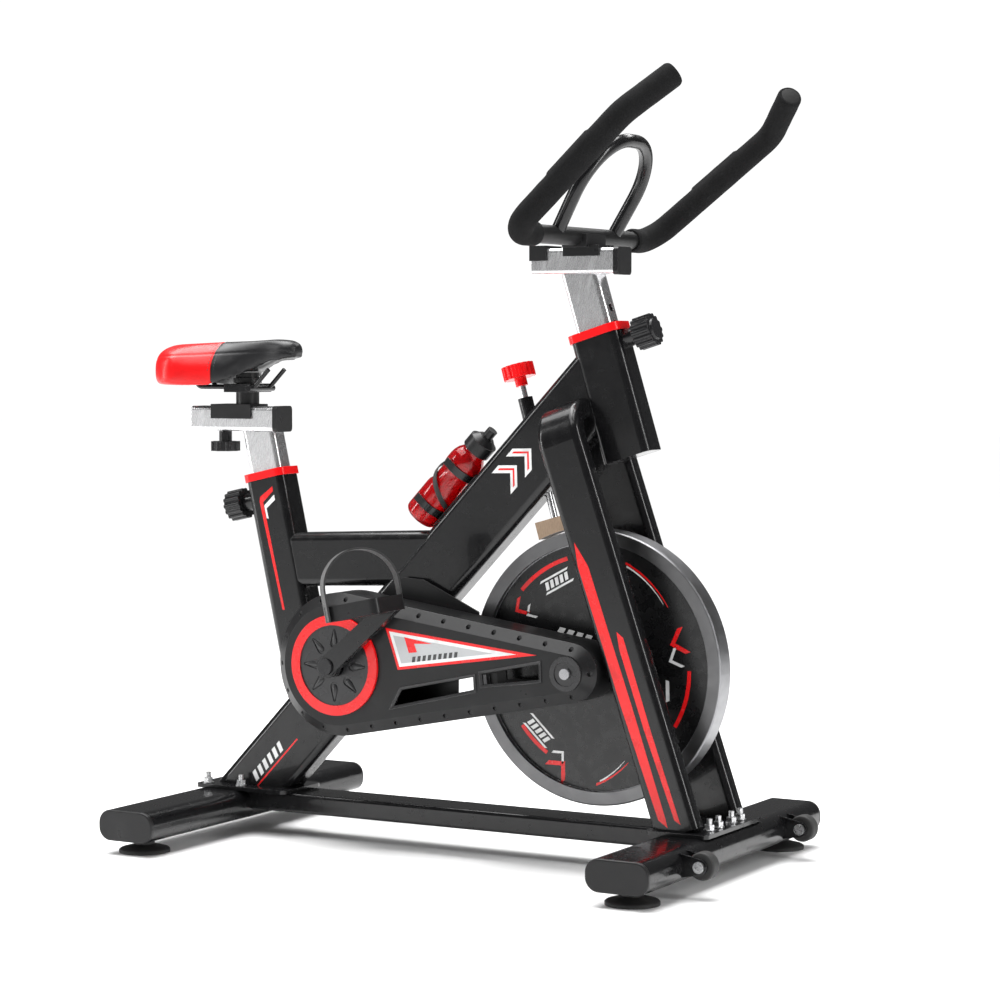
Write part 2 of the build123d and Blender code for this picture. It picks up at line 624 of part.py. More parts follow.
for name, hand, _ in PEDAL_SIDES:
    tilted = Plane(
        origin=(PEDAL_AT[name][0], hand * PEDAL_Y, PEDAL_AT[name][1]),
        x_dir=(cos(radians(PEDAL_TILT)), 0, sin(radians(PEDAL_TILT))),
        z_dir=(-sin(radians(PEDAL_TILT)), 0, cos(radians(PEDAL_TILT))),
    )
    axle = square_to_side(PEDAL_AT[name][0], 0, PEDAL_AT[name][1])
    with BuildPart() as pedal:
        with BuildSketch(tilted.offset(-PEDAL_THICK / 2)) as frame:
            RectangleRounded(PEDAL_SIZE + 4, PEDAL_SIZE - 6, 12)
            with Locations((-27, 0), (27, 0)):
                RectangleRounded(24, PEDAL_SIZE - 26, 5, mode=Mode.SUBTRACT)
        extrude(frame.sketch, amount=PEDAL_THICK)
        rod(axle, PEDAL_AXLE_R + FIT, *sorted((hand * 150, hand * (PEDAL_Y + 38))), Mode.SUBTRACT)
    save(pedal, f"pedal_{name}")

    diagonal = (tilted.x_dir * 38 + Vector(0, -hand * 41, 0)).normalized()
    strap_plane = Plane(tilted.origin, x_dir=diagonal, z_dir=diagonal.cross(Vector(*tilted.z_dir)))
    with BuildPart() as toe_strap:
        with BuildSketch(strap_plane.offset(-11)) as band:
            for inset, mode in ((0, Mode.ADD), (2.6, Mode.SUBTRACT)):
                with Locations((0, STRAP_HIGH - STRAP_HALF)):
                    Circle(STRAP_HALF - inset, mode=mode)
                with Locations((0, (STRAP_HIGH - STRAP_HALF) / 2 - 8)):
                    Rectangle(2 * (STRAP_HALF - inset), STRAP_HIGH - STRAP_HALF + 16, mode=mode)
        extrude(band.sketch, amount=22)
        with Locations(tilted):
            Box(PEDAL_SIZE + 4.2, PEDAL_SIZE - 5.8, PEDAL_THICK, mode=Mode.SUBTRACT)
            with Locations((0, 0, -PEDAL_THICK / 2 - 20)):
                Box(200, 200, 40, mode=Mode.SUBTRACT)
    save(toe_strap, f"toe_strap_{name}")

with BuildPart() as flywheel:
    axle = square_to_side(WHEEL_AT[0], 0, WHEEL_AT[1])
    rod(axle, WHEEL_R, -WHEEL_THICK / 2, WHEEL_THICK / 2)
    rims = flywheel.edges().filter_by(GeomType.CIRCLE)
    chamfer(rims, 2)
    for low, high in ((-WHEEL_THICK / 2, -WEB_THICK / 2), (WEB_THICK / 2, WHEEL_THICK / 2)):
        rod(axle, WHEEL_R - RIM_DEEP, low, high, Mode.SUBTRACT)
        rod(axle, 32.0, low, high)
    rod(axle, AXLE_R, -30, 30, Mode.SUBTRACT)
save(flywheel, "flywheel")

with BuildPart() as flywheel_axle:
    axle = square_to_side(WHEEL_AT[0], 0, WHEEL_AT[1])
    rod(axle, AXLE_R, -74, 40)
    rod(axle, 12.0, 36, 43)
save(flywheel_axle, "flywheel_axle")

with BuildPart() as driven_pulley:
    pulley(WHEEL_AT, SMALL_PULLEY_R, AXLE_R)
save(driven_pulley, "driven_pulley")

with BuildPart() as drive_belt:
    for grow, mode in ((CLEAR + BELT_THICK, Mode.ADD), (CLEAR, Mode.SUBTRACT)):
        with BuildSketch(side(PULLEY_Y + BELT_WIDE / 2)) as loop:
            with Locations(CRANK_AT):
                Circle(PULLEY_R + grow)
            with Locations(WHEEL_AT):
                Circle(SMALL_PULLEY_R + grow)
            make_hull()
        extrude(loop.sketch, amount=BELT_WIDE, mode=mode)
save(drive_belt, "drive_belt")

# ---------------------------------------------------------------- seat and handlebar posts
HOLE_PITCH = 25.0
PIN_GAP = 0.5                 # the pin's tip stops this far short of the post


def post(plane, depth, drop, top_z, pin_side):
    """Post in its frame tube, cut level at its head, with a row of pin holes on one side."""
    tube(plane, -depth, 200, POST_DEEP, POST_WIDE, POST_CORNER)
    split(bisect_by=Plane.XY.offset(top_z), keep=Keep.BOTTOM)
    lowest = -int((depth - drop - PIN_R - 4) // HOLE_PITCH)
    for step in range(lowest, 3):
        hole = Plane(plane.origin + plane.z_dir * (step * HOLE_PITCH - drop), z_dir=plane.x_dir * pin_side)
        rod(hole, PIN_R + CLEAR, 15, 60, Mode.SUBTRACT)


def head_bar(x_range, z_range):
    """Square tube on top of a post, closed by a plug at its front end."""
    start = Plane(origin=(x_range[0], 0, sum(z_range) / 2), x_dir=(0, 0, 1), z_dir=(1, 0, 0))
    tube(start, 0, x_range[1] - x_range[0], z_range[1] - z_range[0], HEAD_WIDE, 6.0)


def pop_pin(plane, face, post_face):
    """Ribbed pull knob with its pin, on the plane's normal."""
    rod(plane, PIN_R, post_face + PIN_GAP, face + BOSS_LONG + 8)
    low = face + BOSS_LONG + 2
    with BuildSketch(plane.offset(low)) as grip:
        Circle(KNOB_R - 2.5)
        with PolarLocations(KNOB_R - 3.5, KNOB_RIBS):
            Circle(3.5)
    extrude(grip.sketch, amount=KNOB_LONG)
    with BuildSketch(plane.offset(low + KNOB_LONG)) as button:
        Circle(KNOB_R - 8)
    extrude(button.sketch, amount=3, taper=20)


with BuildPart() as seat_post:
    post(SEAT_PLANE, SEAT_POST_DEPTH, SEAT_PIN_DROP, SEAT_HEAD_Z[0], -1)
save(seat_post, "seat_post")

with BuildPart() as seat_head:
    head_bar(SEAT_HEAD_X, SEAT_HEAD_Z)
    for low in (SEAT_HEAD_Z[0], SEAT_HEAD_Z[1]):
        with BuildSketch(Plane.XY.offset(low - 4)) as slot:
            with Locations((SLIDE_SLOT_X, 0)):
                SlotOverall(SLIDE_SLOT, 11)
        extrude(slot.sketch, amount=8, mode=Mode.SUBTRACT)
save(seat_head, "seat_head")

with BuildPart() as handlebar_post:
    post(HEAD_PLANE, BAR_POST_DEPTH, HEAD_PIN_DROP, BAR_HEAD_Z[0], 1)
save(handlebar_post, "handlebar_post")

with BuildPart() as handlebar_head:
    head_bar(BAR_HEAD_X, BAR_HEAD_Z)
save(handlebar_head, "handlebar_head")

for name, x_range, z_range in (("seat", SEAT_HEAD_X, SEAT_HEAD_Z), ("handlebar", BAR_HEAD_X, BAR_HEAD_Z)):
    with BuildPart() as plug:
        end = Plane(origin=(x_range[1], 0, sum(z_range) / 2), x_dir=(0, 0, 1), z_dir=(1, 0, 0))
        high = z_range[1] - z_range[0]
        tube(end, 0, 8, high + 2, HEAD_WIDE + 2, 6.0, 0)
        tube(end, -12, 0, high - 2 * WALL - CLEAR, HEAD_WIDE - 2 * WALL - CLEAR, 3.5, 0)
    save(plug, f"{name}_head_plug")

with BuildPart() as seat_pin_knob:
    pop_pin(SEAT_PIN, SEAT_DEEP / 2, POST_DEEP / 2)
save(seat_pin_knob, "seat_pin_knob")

with BuildPart() as handlebar_pin_knob:
    pop_pin(HEAD_PIN, HEAD_DEEP / 2, POST_DEEP / 2)
save(handlebar_pin_knob, "handlebar_pin_knob")

# ---------------------------------------------------------------- saddle on its slider
SLIDER_HALF = 37.0
SLIDER_TOP = SEAT_HEAD_Z[1] + CLEAR + 3
SADDLE_REAR, SADDLE_NOSE = -507.0, -262.0

with BuildPart() as seat_slider:
    half = HEAD_WIDE / 2
    block((SLIDER_X - SLIDER_HALF, -half - CLEAR - 3, SEAT_HEAD_Z[0] + 19),
          (SLIDER_X + SLIDER_HALF, half + CLEAR + 3, SLIDER_TOP))
    tube(Plane(origin=(SLIDER_X - 60, 0, sum(SEAT_HEAD_Z) / 2), x_dir=(0, 0, 1), z_dir=(1, 0, 0)),
         0, 120, SEAT_HEAD_Z[1] - SEAT_HEAD_Z[0] + 2 * CLEAR, HEAD_WIDE + 2 * CLEAR, 6.0, 0, Mode.SUBTRACT)
    rod(Plane((SCREW_X, 0, 0)), SLIDER_SCREW_R + FIT, 600, 700, Mode.SUBTRACT)
    rod(Plane((STUB_X, 0, 0)), STUB_R, SLIDER_TOP, 712)
    rod(Plane((STUB_X, 0, 0)), STUB_R + 4, 696, 704)
save(seat_slider, "seat_slider")

with BuildPart() as slider_knob:
    rod(Plane((SCREW_X, 0, 0)), SLIDER_SCREW_R, 604, SLIDER_TOP - 0.5)
    rod(Plane((SCREW_X, 0, 0)), 10.0, 604, SEAT_HEAD_Z[0] - 1)
    with BuildSketch(Plane.XY.offset(590)) as grip:
        with Locations((SCREW_X, 0)):
            Circle(20)
            with PolarLocations(19, 8):
                Circle(4)
    extrude(grip.sketch, amount=15)
save(slider_knob, "slider_knob")

with BuildPart() as saddle_rails:
    for y in (-22, 22):
        with BuildLine() as rail:
            FilletPolyline(
                (SADDLE_REAR + 56, y, 711), (SADDLE_REAR + 70, y, 690), (STUB_X + 27, y, 690),
                (SADDLE_NOSE - 45, y, 717), radius=10,
            )
        with BuildSketch(Plane(rail.line @ 0, z_dir=rail.line % 0)) as section:
            Circle(3.5)
        sweep(section.sketch, path=rail.line)
    block((STUB_X - 24, -30, 682), (STUB_X + 24, 30, 695))
    rod(Plane((STUB_X, 0, 0)), STUB_R + CLEAR, 600, 720, Mode.SUBTRACT)
    rod(square_to_side(STUB_X + 24, 0, 688), 5.0, -34, 34)
save(saddle_rails, "saddle_rails")

with BuildPart() as saddle:
    with BuildSketch(side(110)) as profile:
        with BuildLine():
            Spline(
                (SADDLE_REAR + 12, 700), (SADDLE_REAR, 728), (SADDLE_REAR + 18, 752), (SADDLE_REAR + 70, 760),
                (SADDLE_REAR + 145, 757), (SADDLE_NOSE - 20, 760), (SADDLE_NOSE, 748),
            )
            Polyline(
                (SADDLE_NOSE, 748), (SADDLE_NOSE - 6, 732), (SADDLE_NOSE - 80, 716),
                (SADDLE_REAR + 60, 716), (SADDLE_REAR + 30, 690), (SADDLE_REAR + 12, 700),
            )
        make_face()
    extrude(profile.sketch, amount=220)
    with BuildSketch(Plane.XY.offset(600)) as outline:
        with Locations((SADDLE_REAR + 55, -32), (SADDLE_REAR + 55, 32)):
            Circle(55)
        with Locations((SADDLE_NOSE - 24, 0)):
            Circle(24)
        make_hull()
    extrude(outline.sketch, amount=300, mode=Mode.INTERSECT)
save(saddle, "saddle")

# ---------------------------------------------------------------- handlebar
def mirrored_route(points):
    """Route across the bike from a list of points on the rider's left."""
    return [(x, -y, z) for x, y, z in points] + [(x, y, z) for x, y, z in reversed(points)]


BAR_POINTS = (ARM_END, ARM_TOP, (BAR_X, BAR_Y, BAR_Z))
LOOP_POINTS = ((BAR_X + 5, 88.0, BAR_Z + 8), (BAR_X + 78, 100.0, BAR_Z + 135))

with BuildPart() as handlebar_bar:
    with BuildLine() as route:
        FilletPolyline(*mirrored_route(BAR_POINTS), radius=BAR_BEND)
    with BuildSketch(Plane(route.line @ 0, z_dir=route.line % 0)) as section:
        Circle(BAR_R)
        Circle(BAR_R - 2, mode=Mode.SUBTRACT)
    sweep(section.sketch, path=route.line)
save(handlebar_bar, "handlebar_bar")

with BuildPart() as handlebar_grips:
    for hand in (-1, 1):
        arm = [(x, hand * y, z) for x, y, z in reversed(BAR_POINTS)]
        with BuildLine() as route:
            FilletPolyline((BAR_X, hand * GRIP_START_Y, BAR_Z), *arm, radius=BAR_BEND)
        with BuildSketch(Plane(route.line @ 0, z_dir=route.line % 0)) as section:
            Circle(GRIP_R)
            Circle(BAR_R + 0.2, mode=Mode.SUBTRACT)
        sweep(section.sketch, path=route.line)
save(handlebar_grips, "handlebar_grips")

with BuildPart() as aero_loop:
    with BuildLine() as route:
        FilletPolyline(*mirrored_route(LOOP_POINTS), radius=LOOP_BEND)
    with BuildSketch(Plane(route.line @ 0, z_dir=route.line % 0)) as section:
        Circle(LOOP_R)
        Circle(LOOP_R - 2, mode=Mode.SUBTRACT)
    sweep(section.sketch, path=route.line)
    rod(square_to_side(BAR_X, 0, BAR_Z), BAR_R, -150, 150, Mode.SUBTRACT)
    add(aero_loop.solids().sort_by(SortBy.VOLUME)[-1], mode=Mode.REPLACE)
save(aero_loop, "aero_loop")

with BuildPart() as handlebar_brackets:
    half = HEAD_WIDE / 2
    top = BAR_HEAD_Z[1]
    for low, high, flap in ((BAR_HEAD_X[0] - 2, BAR_HEAD_X[0] + 26, 18), (BAR_X - 22, BAR_X + 36, 12)):
        block((low, -half - 3, top - flap), (high, half + 3, top + 4))
    block((BAR_X - 20, -30, top + 1), (BAR_X + 20, 30, BAR_Z + 4))
    head_start = Plane(origin=(BAR_HEAD_X[0] - 9, 0, sum(BAR_HEAD_Z) / 2), x_dir=(0, 0, 1), z_dir=(1, 0, 0))
    tube(head_start, 0, 300, BAR_HEAD_Z[1] - BAR_HEAD_Z[0], HEAD_WIDE, 6.0, 0, Mode.SUBTRACT)
    rod(square_to_side(BAR_X, 0, BAR_Z), BAR_R, -150, 150, Mode.SUBTRACT)
save(handlebar_brackets, "handlebar_brackets")

# ---------------------------------------------------------------- brake
PAD_GAP = 3.5
with BuildPart() as tension_rod:
    rod(BRAKE_PLANE, BRAKE_ROD_R, -240, -22)
save(tension_rod, "tension_rod")

with BuildPart() as tension_knob:
    with BuildSketch(BRAKE_PLANE.offset(-20)) as grip:
        Circle(KNOB_R)
        with PolarLocations(KNOB_R + 1, 16):
            Circle(3, mode=Mode.SUBTRACT)
    extrude(grip.sketch, amount=20)
    rod(BRAKE_PLANE, 9.0, -32, -20)
    rod(BRAKE_PLANE, BRAKE_ROD_R + FIT, -40, -22 + FIT, Mode.SUBTRACT)
save(tension_knob, "tension_knob")

with BuildPart() as brake_pad:
    with Locations(BRAKE_PLANE.offset(-232)):
        Box(52, 30, 26, align=(Align.CENTER, Align.CENTER, Align.MAX))
    rod(square_to_side(WHEEL_AT[0], 0, WHEEL_AT[1]), WHEEL_R + PAD_GAP, -40, 40, Mode.SUBTRACT)
    rod(BRAKE_PLANE, BRAKE_ROD_R, -240, -100, Mode.SUBTRACT)
save(brake_pad, "brake_pad")

# ---------------------------------------------------------------- bottle
BOTTLE_PLANE = leaning(BOTTLE_FOOT, MAIN_ANGLE - 90)

with BuildPart() as bottle:
    with BuildSketch(Plane(BOTTLE_PLANE.origin, x_dir=(0, 1, 0), z_dir=BOTTLE_PLANE.x_dir)) as half_profile:
        with BuildLine():
            Polyline((0, 0), (BOTTLE_R - 4, 0), (BOTTLE_R, 4), (BOTTLE_R, 60), (BOTTLE_R - 3, 68),
                     (BOTTLE_R - 3, 88), (BOTTLE_R, 96), (BOTTLE_R, 122), (19, 138), (19, 148), (17, 148),
                     (17, 137), (BOTTLE_R - 2, 121), (BOTTLE_R - 2, 97), (BOTTLE_R - 5, 89),
                     (BOTTLE_R - 5, 67), (BOTTLE_R - 2, 59), (BOTTLE_R - 2, 5), (BOTTLE_R - 5, 2), (0, 2),
                     close=True)
        make_face()
    revolve(half_profile.sketch, axis=Axis(BOTTLE_PLANE.origin, BOTTLE_PLANE.z_dir))
save(bottle, "bottle")

with BuildPart() as bottle_cap:
    rod(BOTTLE_PLANE, 22.0, 139, 158)
    rod(BOTTLE_PLANE, 19.0 + CLEAR, 130, 150, Mode.SUBTRACT)
    with BuildSketch(BOTTLE_PLANE.offset(158)) as shoulder:
        Circle(20)
    extrude(shoulder.sketch, amount=8, taper=45)
    rod(BOTTLE_PLANE, 8.0, 160, BOTTLE_LENGTH)
save(bottle_cap, "bottle_cap")

with BuildPart() as bottle_cage:
    gap = BOTTLE_R + CLEAR
    for low in (24.0, 98.0):
        with BuildSketch(BOTTLE_PLANE.offset(low)) as clip:
            Circle(gap + 2.5)
            with Locations((-8, 0)):
                Rectangle(16, 2 * gap + 5)
            Circle(gap, mode=Mode.SUBTRACT)
            with Locations((-40, 0)):
                Rectangle(80, 2 * gap, mode=Mode.SUBTRACT)
        extrude(clip.sketch, amount=12)
    with Locations(BOTTLE_PLANE):
        with Locations((CAGE_DROP - 3, 0, 10)):
            Box(3, 22, 106, align=(Align.MIN, Align.CENTER, Align.MIN))
    main_envelope()
save(bottle_cage, "bottle_cage")
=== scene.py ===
"""Looks of the indoor spin bike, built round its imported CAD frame. Metres, in the frame's own axes."""

import json
from math import cos, exp, pi, radians, sin, sqrt, tau

import bmesh
import bpy
from mathutils import Matrix, Vector, noise
from mathutils.bvhtree import BVHTree


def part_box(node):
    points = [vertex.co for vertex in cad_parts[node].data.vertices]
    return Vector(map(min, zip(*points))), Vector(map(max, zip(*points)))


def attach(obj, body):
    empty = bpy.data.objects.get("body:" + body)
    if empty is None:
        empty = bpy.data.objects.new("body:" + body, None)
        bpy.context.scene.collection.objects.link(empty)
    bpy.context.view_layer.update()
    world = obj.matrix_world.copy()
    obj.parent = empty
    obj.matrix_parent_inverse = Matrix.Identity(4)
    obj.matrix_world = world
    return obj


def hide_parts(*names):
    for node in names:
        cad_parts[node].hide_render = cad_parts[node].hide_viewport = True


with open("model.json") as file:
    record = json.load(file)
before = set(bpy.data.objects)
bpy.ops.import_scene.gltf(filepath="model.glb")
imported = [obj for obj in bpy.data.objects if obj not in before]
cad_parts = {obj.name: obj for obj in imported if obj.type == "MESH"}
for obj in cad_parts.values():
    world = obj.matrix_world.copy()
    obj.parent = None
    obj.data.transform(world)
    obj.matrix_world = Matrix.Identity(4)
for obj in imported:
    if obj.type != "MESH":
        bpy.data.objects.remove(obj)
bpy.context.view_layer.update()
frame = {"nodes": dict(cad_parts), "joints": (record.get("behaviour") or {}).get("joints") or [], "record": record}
nodes = frame["nodes"]
MM = 0.001


# ---------------------------------------------------------------- places taken from the frame
def hinge_at(name):
    """Point on a joint's axis."""
    return next(Vector(j["pos_m"]) for j in frame["joints"] if j["name"] == name)


def slide_along(name):
    """Direction of a sliding joint."""
    return next(Vector(j["axis"]).normalized() for j in frame["joints"] if j["name"] == name)


WHEEL = hinge_at("flywheel_spin")
CRANK = hinge_at("crank_spin")
CLIP_OUT = slide_along("bottle_lift")
BOTTLE_AXIS = Vector((CLIP_OUT.z, 0, -CLIP_OUT.x))
RIM_INNER_R = 180 * MM          # where the flywheel's bright rim meets its black web
TREAD_HALF = 17.5 * MM          # half the width of the flywheel's tread, inside its chamfers
RED = (0.80, 0.006, 0.008)
BLACK = (0.006, 0.006, 0.0065)


# ---------------------------------------------------------------- materials
class Recipe:
    """One procedural material, built node by node on object coordinates."""

    def __init__(self, name, colour, roughness, metallic=0.0, **constants):
        """Start from a plain colour. Further keywords are shader sockets, with underscores for spaces."""
        self.material = bpy.data.materials.new(name)
        self.material.use_nodes = True
        self.tree = self.material.node_tree
        self.shader = self.tree.nodes["Principled BSDF"]
        self.set("Base Color", (*colour, 1))
        self.set("Roughness", roughness)
        self.set("Metallic", metallic)
        for key, value in constants.items():
            self.set(key.replace("_", " "), value)
        self.place = self.add("ShaderNodeTexCoord").outputs["Object"]

    def set(self, name, value):
        """Link an output to a shader socket, or set the socket's own value."""
        self.feed(self.shader.inputs[name], value)

    def feed(self, socket, value):
        """Link an output to a socket, or set the socket's own value."""
        if isinstance(value, bpy.types.NodeSocket):
            self.tree.links.new(value, socket)
        else:
            socket.default_value = value

    def add(self, kind, inputs=(), **settings):
        """New node with its settings, and with its inputs linked or set."""
        made = self.tree.nodes.new(kind)
        for key, value in settings.items():
            setattr(made, key, value)
        for key, value in dict(inputs).items():
            self.feed(made.inputs[key], value)
        return made

    def noise(self, scale, detail=3.0, place=None):
        """Fractal noise, with so many cells a metre."""
        inputs = {"Vector": place or self.place, "Scale": scale, "Detail": detail}
        return self.add("ShaderNodeTexNoise", inputs).outputs[0]

    def cells(self, scale, place=None):
        """Distance to the nearest of scattered points."""
        inputs = {"Vector": place or self.place, "Scale": scale}
        return self.add("ShaderNodeTexVoronoi", inputs).outputs["Distance"]

    def stretched(self, x, y, z, turn=0.0):
        """Coordinates scaled by axis, after a turn about the bike's width."""
        turned = self.add("ShaderNodeMapping", {"Vector": self.place, "Rotation": (0, turn, 0)}).outputs[0]
        return self.add("ShaderNodeMapping", {"Vector": turned, "Scale": (x, y, z)}).outputs[0]

    def span(self, value, low, high, to_low=0.0, to_high=1.0):
        """Map a value from one range to another, held at the ends."""
        inputs = {"Value": value, "From Min": low, "From Max": high, "To Min": to_low, "To Max": to_high}
        return self.add("ShaderNodeMapRange", inputs).outputs[0]

    def maths(self, operation, first, second=0.0):
        """Result of a maths node on one or two values."""
        return self.add("ShaderNodeMath", {0: first, 1: second}, operation=operation).outputs[0]

    def blend(self, share, first, second):
        """Mix two colours."""
        mix = self.add("ShaderNodeMix", {0: share}, data_type="RGBA")
        for slot, colour in ((6, first), (7, second)):
            self.feed(mix.inputs[slot], (*colour, 1) if isinstance(colour, tuple) else colour)
        return mix.outputs[2]

    def axis(self, name):
        """One object coordinate."""
        return self.add("ShaderNodeSeparateXYZ", {0: self.place}).outputs[name]

    def radius_from(self, centre):
        """Distance from an axle that runs across the bike."""
        flat = self.add("ShaderNodeVectorMath", {0: self.place, 1: centre}, operation="SUBTRACT").outputs[0]
        flat = self.add("ShaderNodeVectorMath", {0: flat, 1: (1, 0, 1)}, operation="MULTIPLY").outputs[0]
        return self.add("ShaderNodeVectorMath", {0: flat}, operation="LENGTH").outputs["Value"]

    def edges(self, radius=1.2 * MM):
        """1 along sharp edges and 0 on flat faces."""
        soft = self.add("ShaderNodeBevel", {"Radius": radius}, samples=6).outputs[0]
        true = self.add("ShaderNodeNewGeometry").outputs["Normal"]
        both = {0: soft, 1: true}
        agreement = self.add("ShaderNodeVectorMath", both, operation="DOT_PRODUCT").outputs["Value"]
        return self.span(agreement, 0.985, 0.86)

    def bump(self, height, strength, distance=0.3 * MM, rounding=0.8 * MM):
        """Relief over edges that are rounded a little in the shading."""
        soft = self.add("ShaderNodeBevel", {"Radius": rounding}, samples=6).outputs[0] if rounding else None
        inputs = {"Height": height, "Strength": strength, "Distance": distance}
        made = self.add("ShaderNodeBump", inputs)
        if soft:
            self.feed(made.inputs["Normal"], soft)
        self.set("Normal", made.outputs[0])


def painted_steel():
    """Gloss black stoved paint: faint orange peel, dust, and paint worn thin along the edges."""
    paint = Recipe("black_paint", BLACK, 0.2, Specular_IOR_Level=0.28, Coat_Weight=0.25, Coat_Roughness=0.05)
    dust = paint.span(paint.noise(9, 5), 0.45, 0.75)
    worn = paint.maths("MULTIPLY", paint.edges(), paint.span(paint.noise(140), 0.42, 0.62))
    base = paint.blend(paint.maths("MULTIPLY", dust, 0.25), BLACK, (0.016, 0.016, 0.017))
    paint.set("Base Color", paint.blend(paint.maths("MULTIPLY", worn, 0.30), base, (0.10, 0.10, 0.105)))
    fine = paint.noise(60, 4)
    paint.set("Roughness", paint.span(fine, 0.3, 0.7, 0.17, 0.30))
    paint.bump(paint.noise(520, 1), 0.10, 0.12 * MM, 1.0 * MM)
    return paint.material


def moulded_plastic(name="black_plastic", colour=(0.010, 0.010, 0.0105), roughness=0.36, grain=0.25):
    """Moulded plastic with a fine spark-eroded grain and a few rubbed patches."""
    plastic = Recipe(name, colour, roughness, Specular_IOR_Level=0.3)
    rubbed = plastic.span(plastic.noise(22, 4), 0.5, 0.72)
    lighter = tuple(min(1.0, c * 1.4 + 0.002) for c in colour)
    base = plastic.blend(plastic.maths("MULTIPLY", rubbed, 0.5), colour, lighter)
    edge = tuple(min(1.0, c * 2.2 + 0.03) for c in colour)
    plastic.set("Base Color", plastic.blend(plastic.maths("MULTIPLY", plastic.edges(), 0.25), base, edge))
    plastic.set("Roughness", plastic.span(rubbed, 0, 1, roughness, roughness - 0.10))
    plastic.bump(plastic.noise(2600, 2), grain, 0.08 * MM)
    return plastic.material


def rubber(name="rubber", colour=(0.018, 0.018, 0.018)):
    """Matt black rubber with a chalky bloom."""
    made = Recipe(name, colour, 0.7)
    bloom = made.span(made.noise(35, 5), 0.4, 0.75)
    made.set("Base Color", made.blend(made.maths("MULTIPLY", bloom, 0.6), colour, (0.045, 0.044, 0.042)))
    made.set("Roughness", made.span(bloom, 0, 1, 0.6, 0.82))
    made.bump(made.noise(1500, 3), 0.35, 0.12 * MM)
    return made.material


def zinc_steel():
    """Zinc-plated bolts and shafts: bright with a soft mottle."""
    zinc = Recipe("zinc_steel", (0.60, 0.60, 0.61), 0.28, 1.0)
    mottle = zinc.cells(420)
    zinc.set("Base Color", zinc.blend(zinc.span(mottle, 0.1, 0.7), (0.66, 0.67, 0.69), (0.42, 0.42, 0.42)))
    zinc.set("Roughness", zinc.span(zinc.noise(300, 4), 0.3, 0.7, 0.20, 0.42))
    zinc.bump(zinc.noise(1200, 2), 0.12, 0.1 * MM, 0.5 * MM)
    return zinc.material


def satin_chrome():
    """Satin chrome posts, ground along their length, with fine scuffs from sliding in and out."""
    chrome = Recipe("satin_chrome", (0.70, 0.70, 0.71), 0.28, 0.92)
    grind = chrome.noise(60, 3, chrome.stretched(40, 40, 1.2, radians(-14)))
    scuffs = chrome.span(chrome.noise(14, 8, chrome.stretched(9, 9, 1.0, radians(-14))), 0.56, 0.70)
    chrome.set("Base Color", chrome.blend(scuffs, (0.74, 0.74, 0.75), (0.69, 0.69, 0.70)))
    chrome.set("Roughness", chrome.maths("ADD", chrome.span(grind, 0.3, 0.7, 0.20, 0.30),
                                         chrome.maths("MULTIPLY", scuffs, 0.06)))
    chrome.bump(grind, 0.05, 0.05 * MM, 1.0 * MM)
    return chrome.material


def flywheel_iron():
    """Cast wheel: the rim is turned bright and the recessed web is painted gloss black. The rim's tread gets a
    lighter grey than its flanks of the same metal: painted light on the tread and painted shade on the flanks.
    """
    iron = Recipe("flywheel_iron", (0.3, 0.3, 0.3), 0.3, 1.0)
    radius = iron.radius_from(WHEEL)
    rim = iron.span(radius, RIM_INNER_R - 0.3 * MM, RIM_INNER_R)
    tool_marks = iron.maths("SINE", iron.maths("MULTIPLY", radius, tau / (0.55 * MM)))
    cloud = iron.noise(26, 5)
    off_middle = iron.maths("ABSOLUTE", iron.axis("Y"))
    # painted light and shade: the tread, which faces up and out, is painted a lighter grey than the flanks beside
    # it
    lit_tread = iron.span(off_middle, TREAD_HALF - 0.1 * MM, TREAD_HALF + 0.1 * MM, 1.0, 0.0)
    shaded_flank = iron.blend(cloud, (0.12, 0.12, 0.123), (0.19, 0.19, 0.193))
    bright = iron.blend(lit_tread, shaded_flank, iron.blend(cloud, (0.24, 0.24, 0.25), (0.34, 0.34, 0.35)))
    iron.set("Base Color", iron.blend(rim, BLACK, bright))
    iron.set("Metallic", rim)
    matt = iron.span(iron.noise(90, 4), 0.3, 0.7, 0.30, 0.42)
    shine = iron.span(iron.noise(70, 3), 0.3, 0.7, 0.22, 0.34)
    gap = iron.maths("MULTIPLY", iron.maths("SUBTRACT", matt, shine), rim)
    iron.set("Roughness", iron.maths("ADD", shine, gap))
    relief = iron.maths("ADD", iron.maths("MULTIPLY", iron.maths("MULTIPLY", tool_marks, rim), 0.5),
                        iron.maths("MULTIPLY", iron.noise(700, 2), 0.4))
    iron.bump(relief, 0.10, 0.06 * MM, 1.0 * MM)
    return iron.material


def turned_alloy():
    """Aluminium pulleys with lathe rings round each axle."""
    alloy = Recipe("turned_alloy", (0.70, 0.70, 0.72), 0.3, 1.0)
    rings = [alloy.maths("SINE", alloy.maths("MULTIPLY", alloy.radius_from(at), tau / (0.8 * MM)))
             for at in (WHEEL, CRANK)]
    alloy.set("Roughness", alloy.span(alloy.noise(120, 4), 0.3, 0.7, 0.26, 0.42))
    alloy.set("Base Color", alloy.blend(alloy.noise(40, 4), (0.72, 0.72, 0.74), (0.55, 0.55, 0.57)))
    alloy.bump(alloy.maths("ADD", *rings), 0.15, 0.06 * MM)
    return alloy.material


def foam():
    """Closed-cell foam sleeve: matt, finely pitted."""
    made = Recipe("grip_foam", (0.008, 0.008, 0.008), 0.95, Specular_IOR_Level=0.12)
    pits = made.cells(1100)
    depth = made.span(pits, 0.1, 0.7)
    made.set("Base Color", made.blend(depth, (0.004, 0.004, 0.004), (0.013, 0.013, 0.0135)))
    made.set("Roughness", made.span(made.noise(50, 4), 0.3, 0.7, 0.85, 1.0))
    made.bump(made.maths("ADD", pits, made.noise(260, 4)), 0.25, 0.2 * MM, 0)
    return made.material


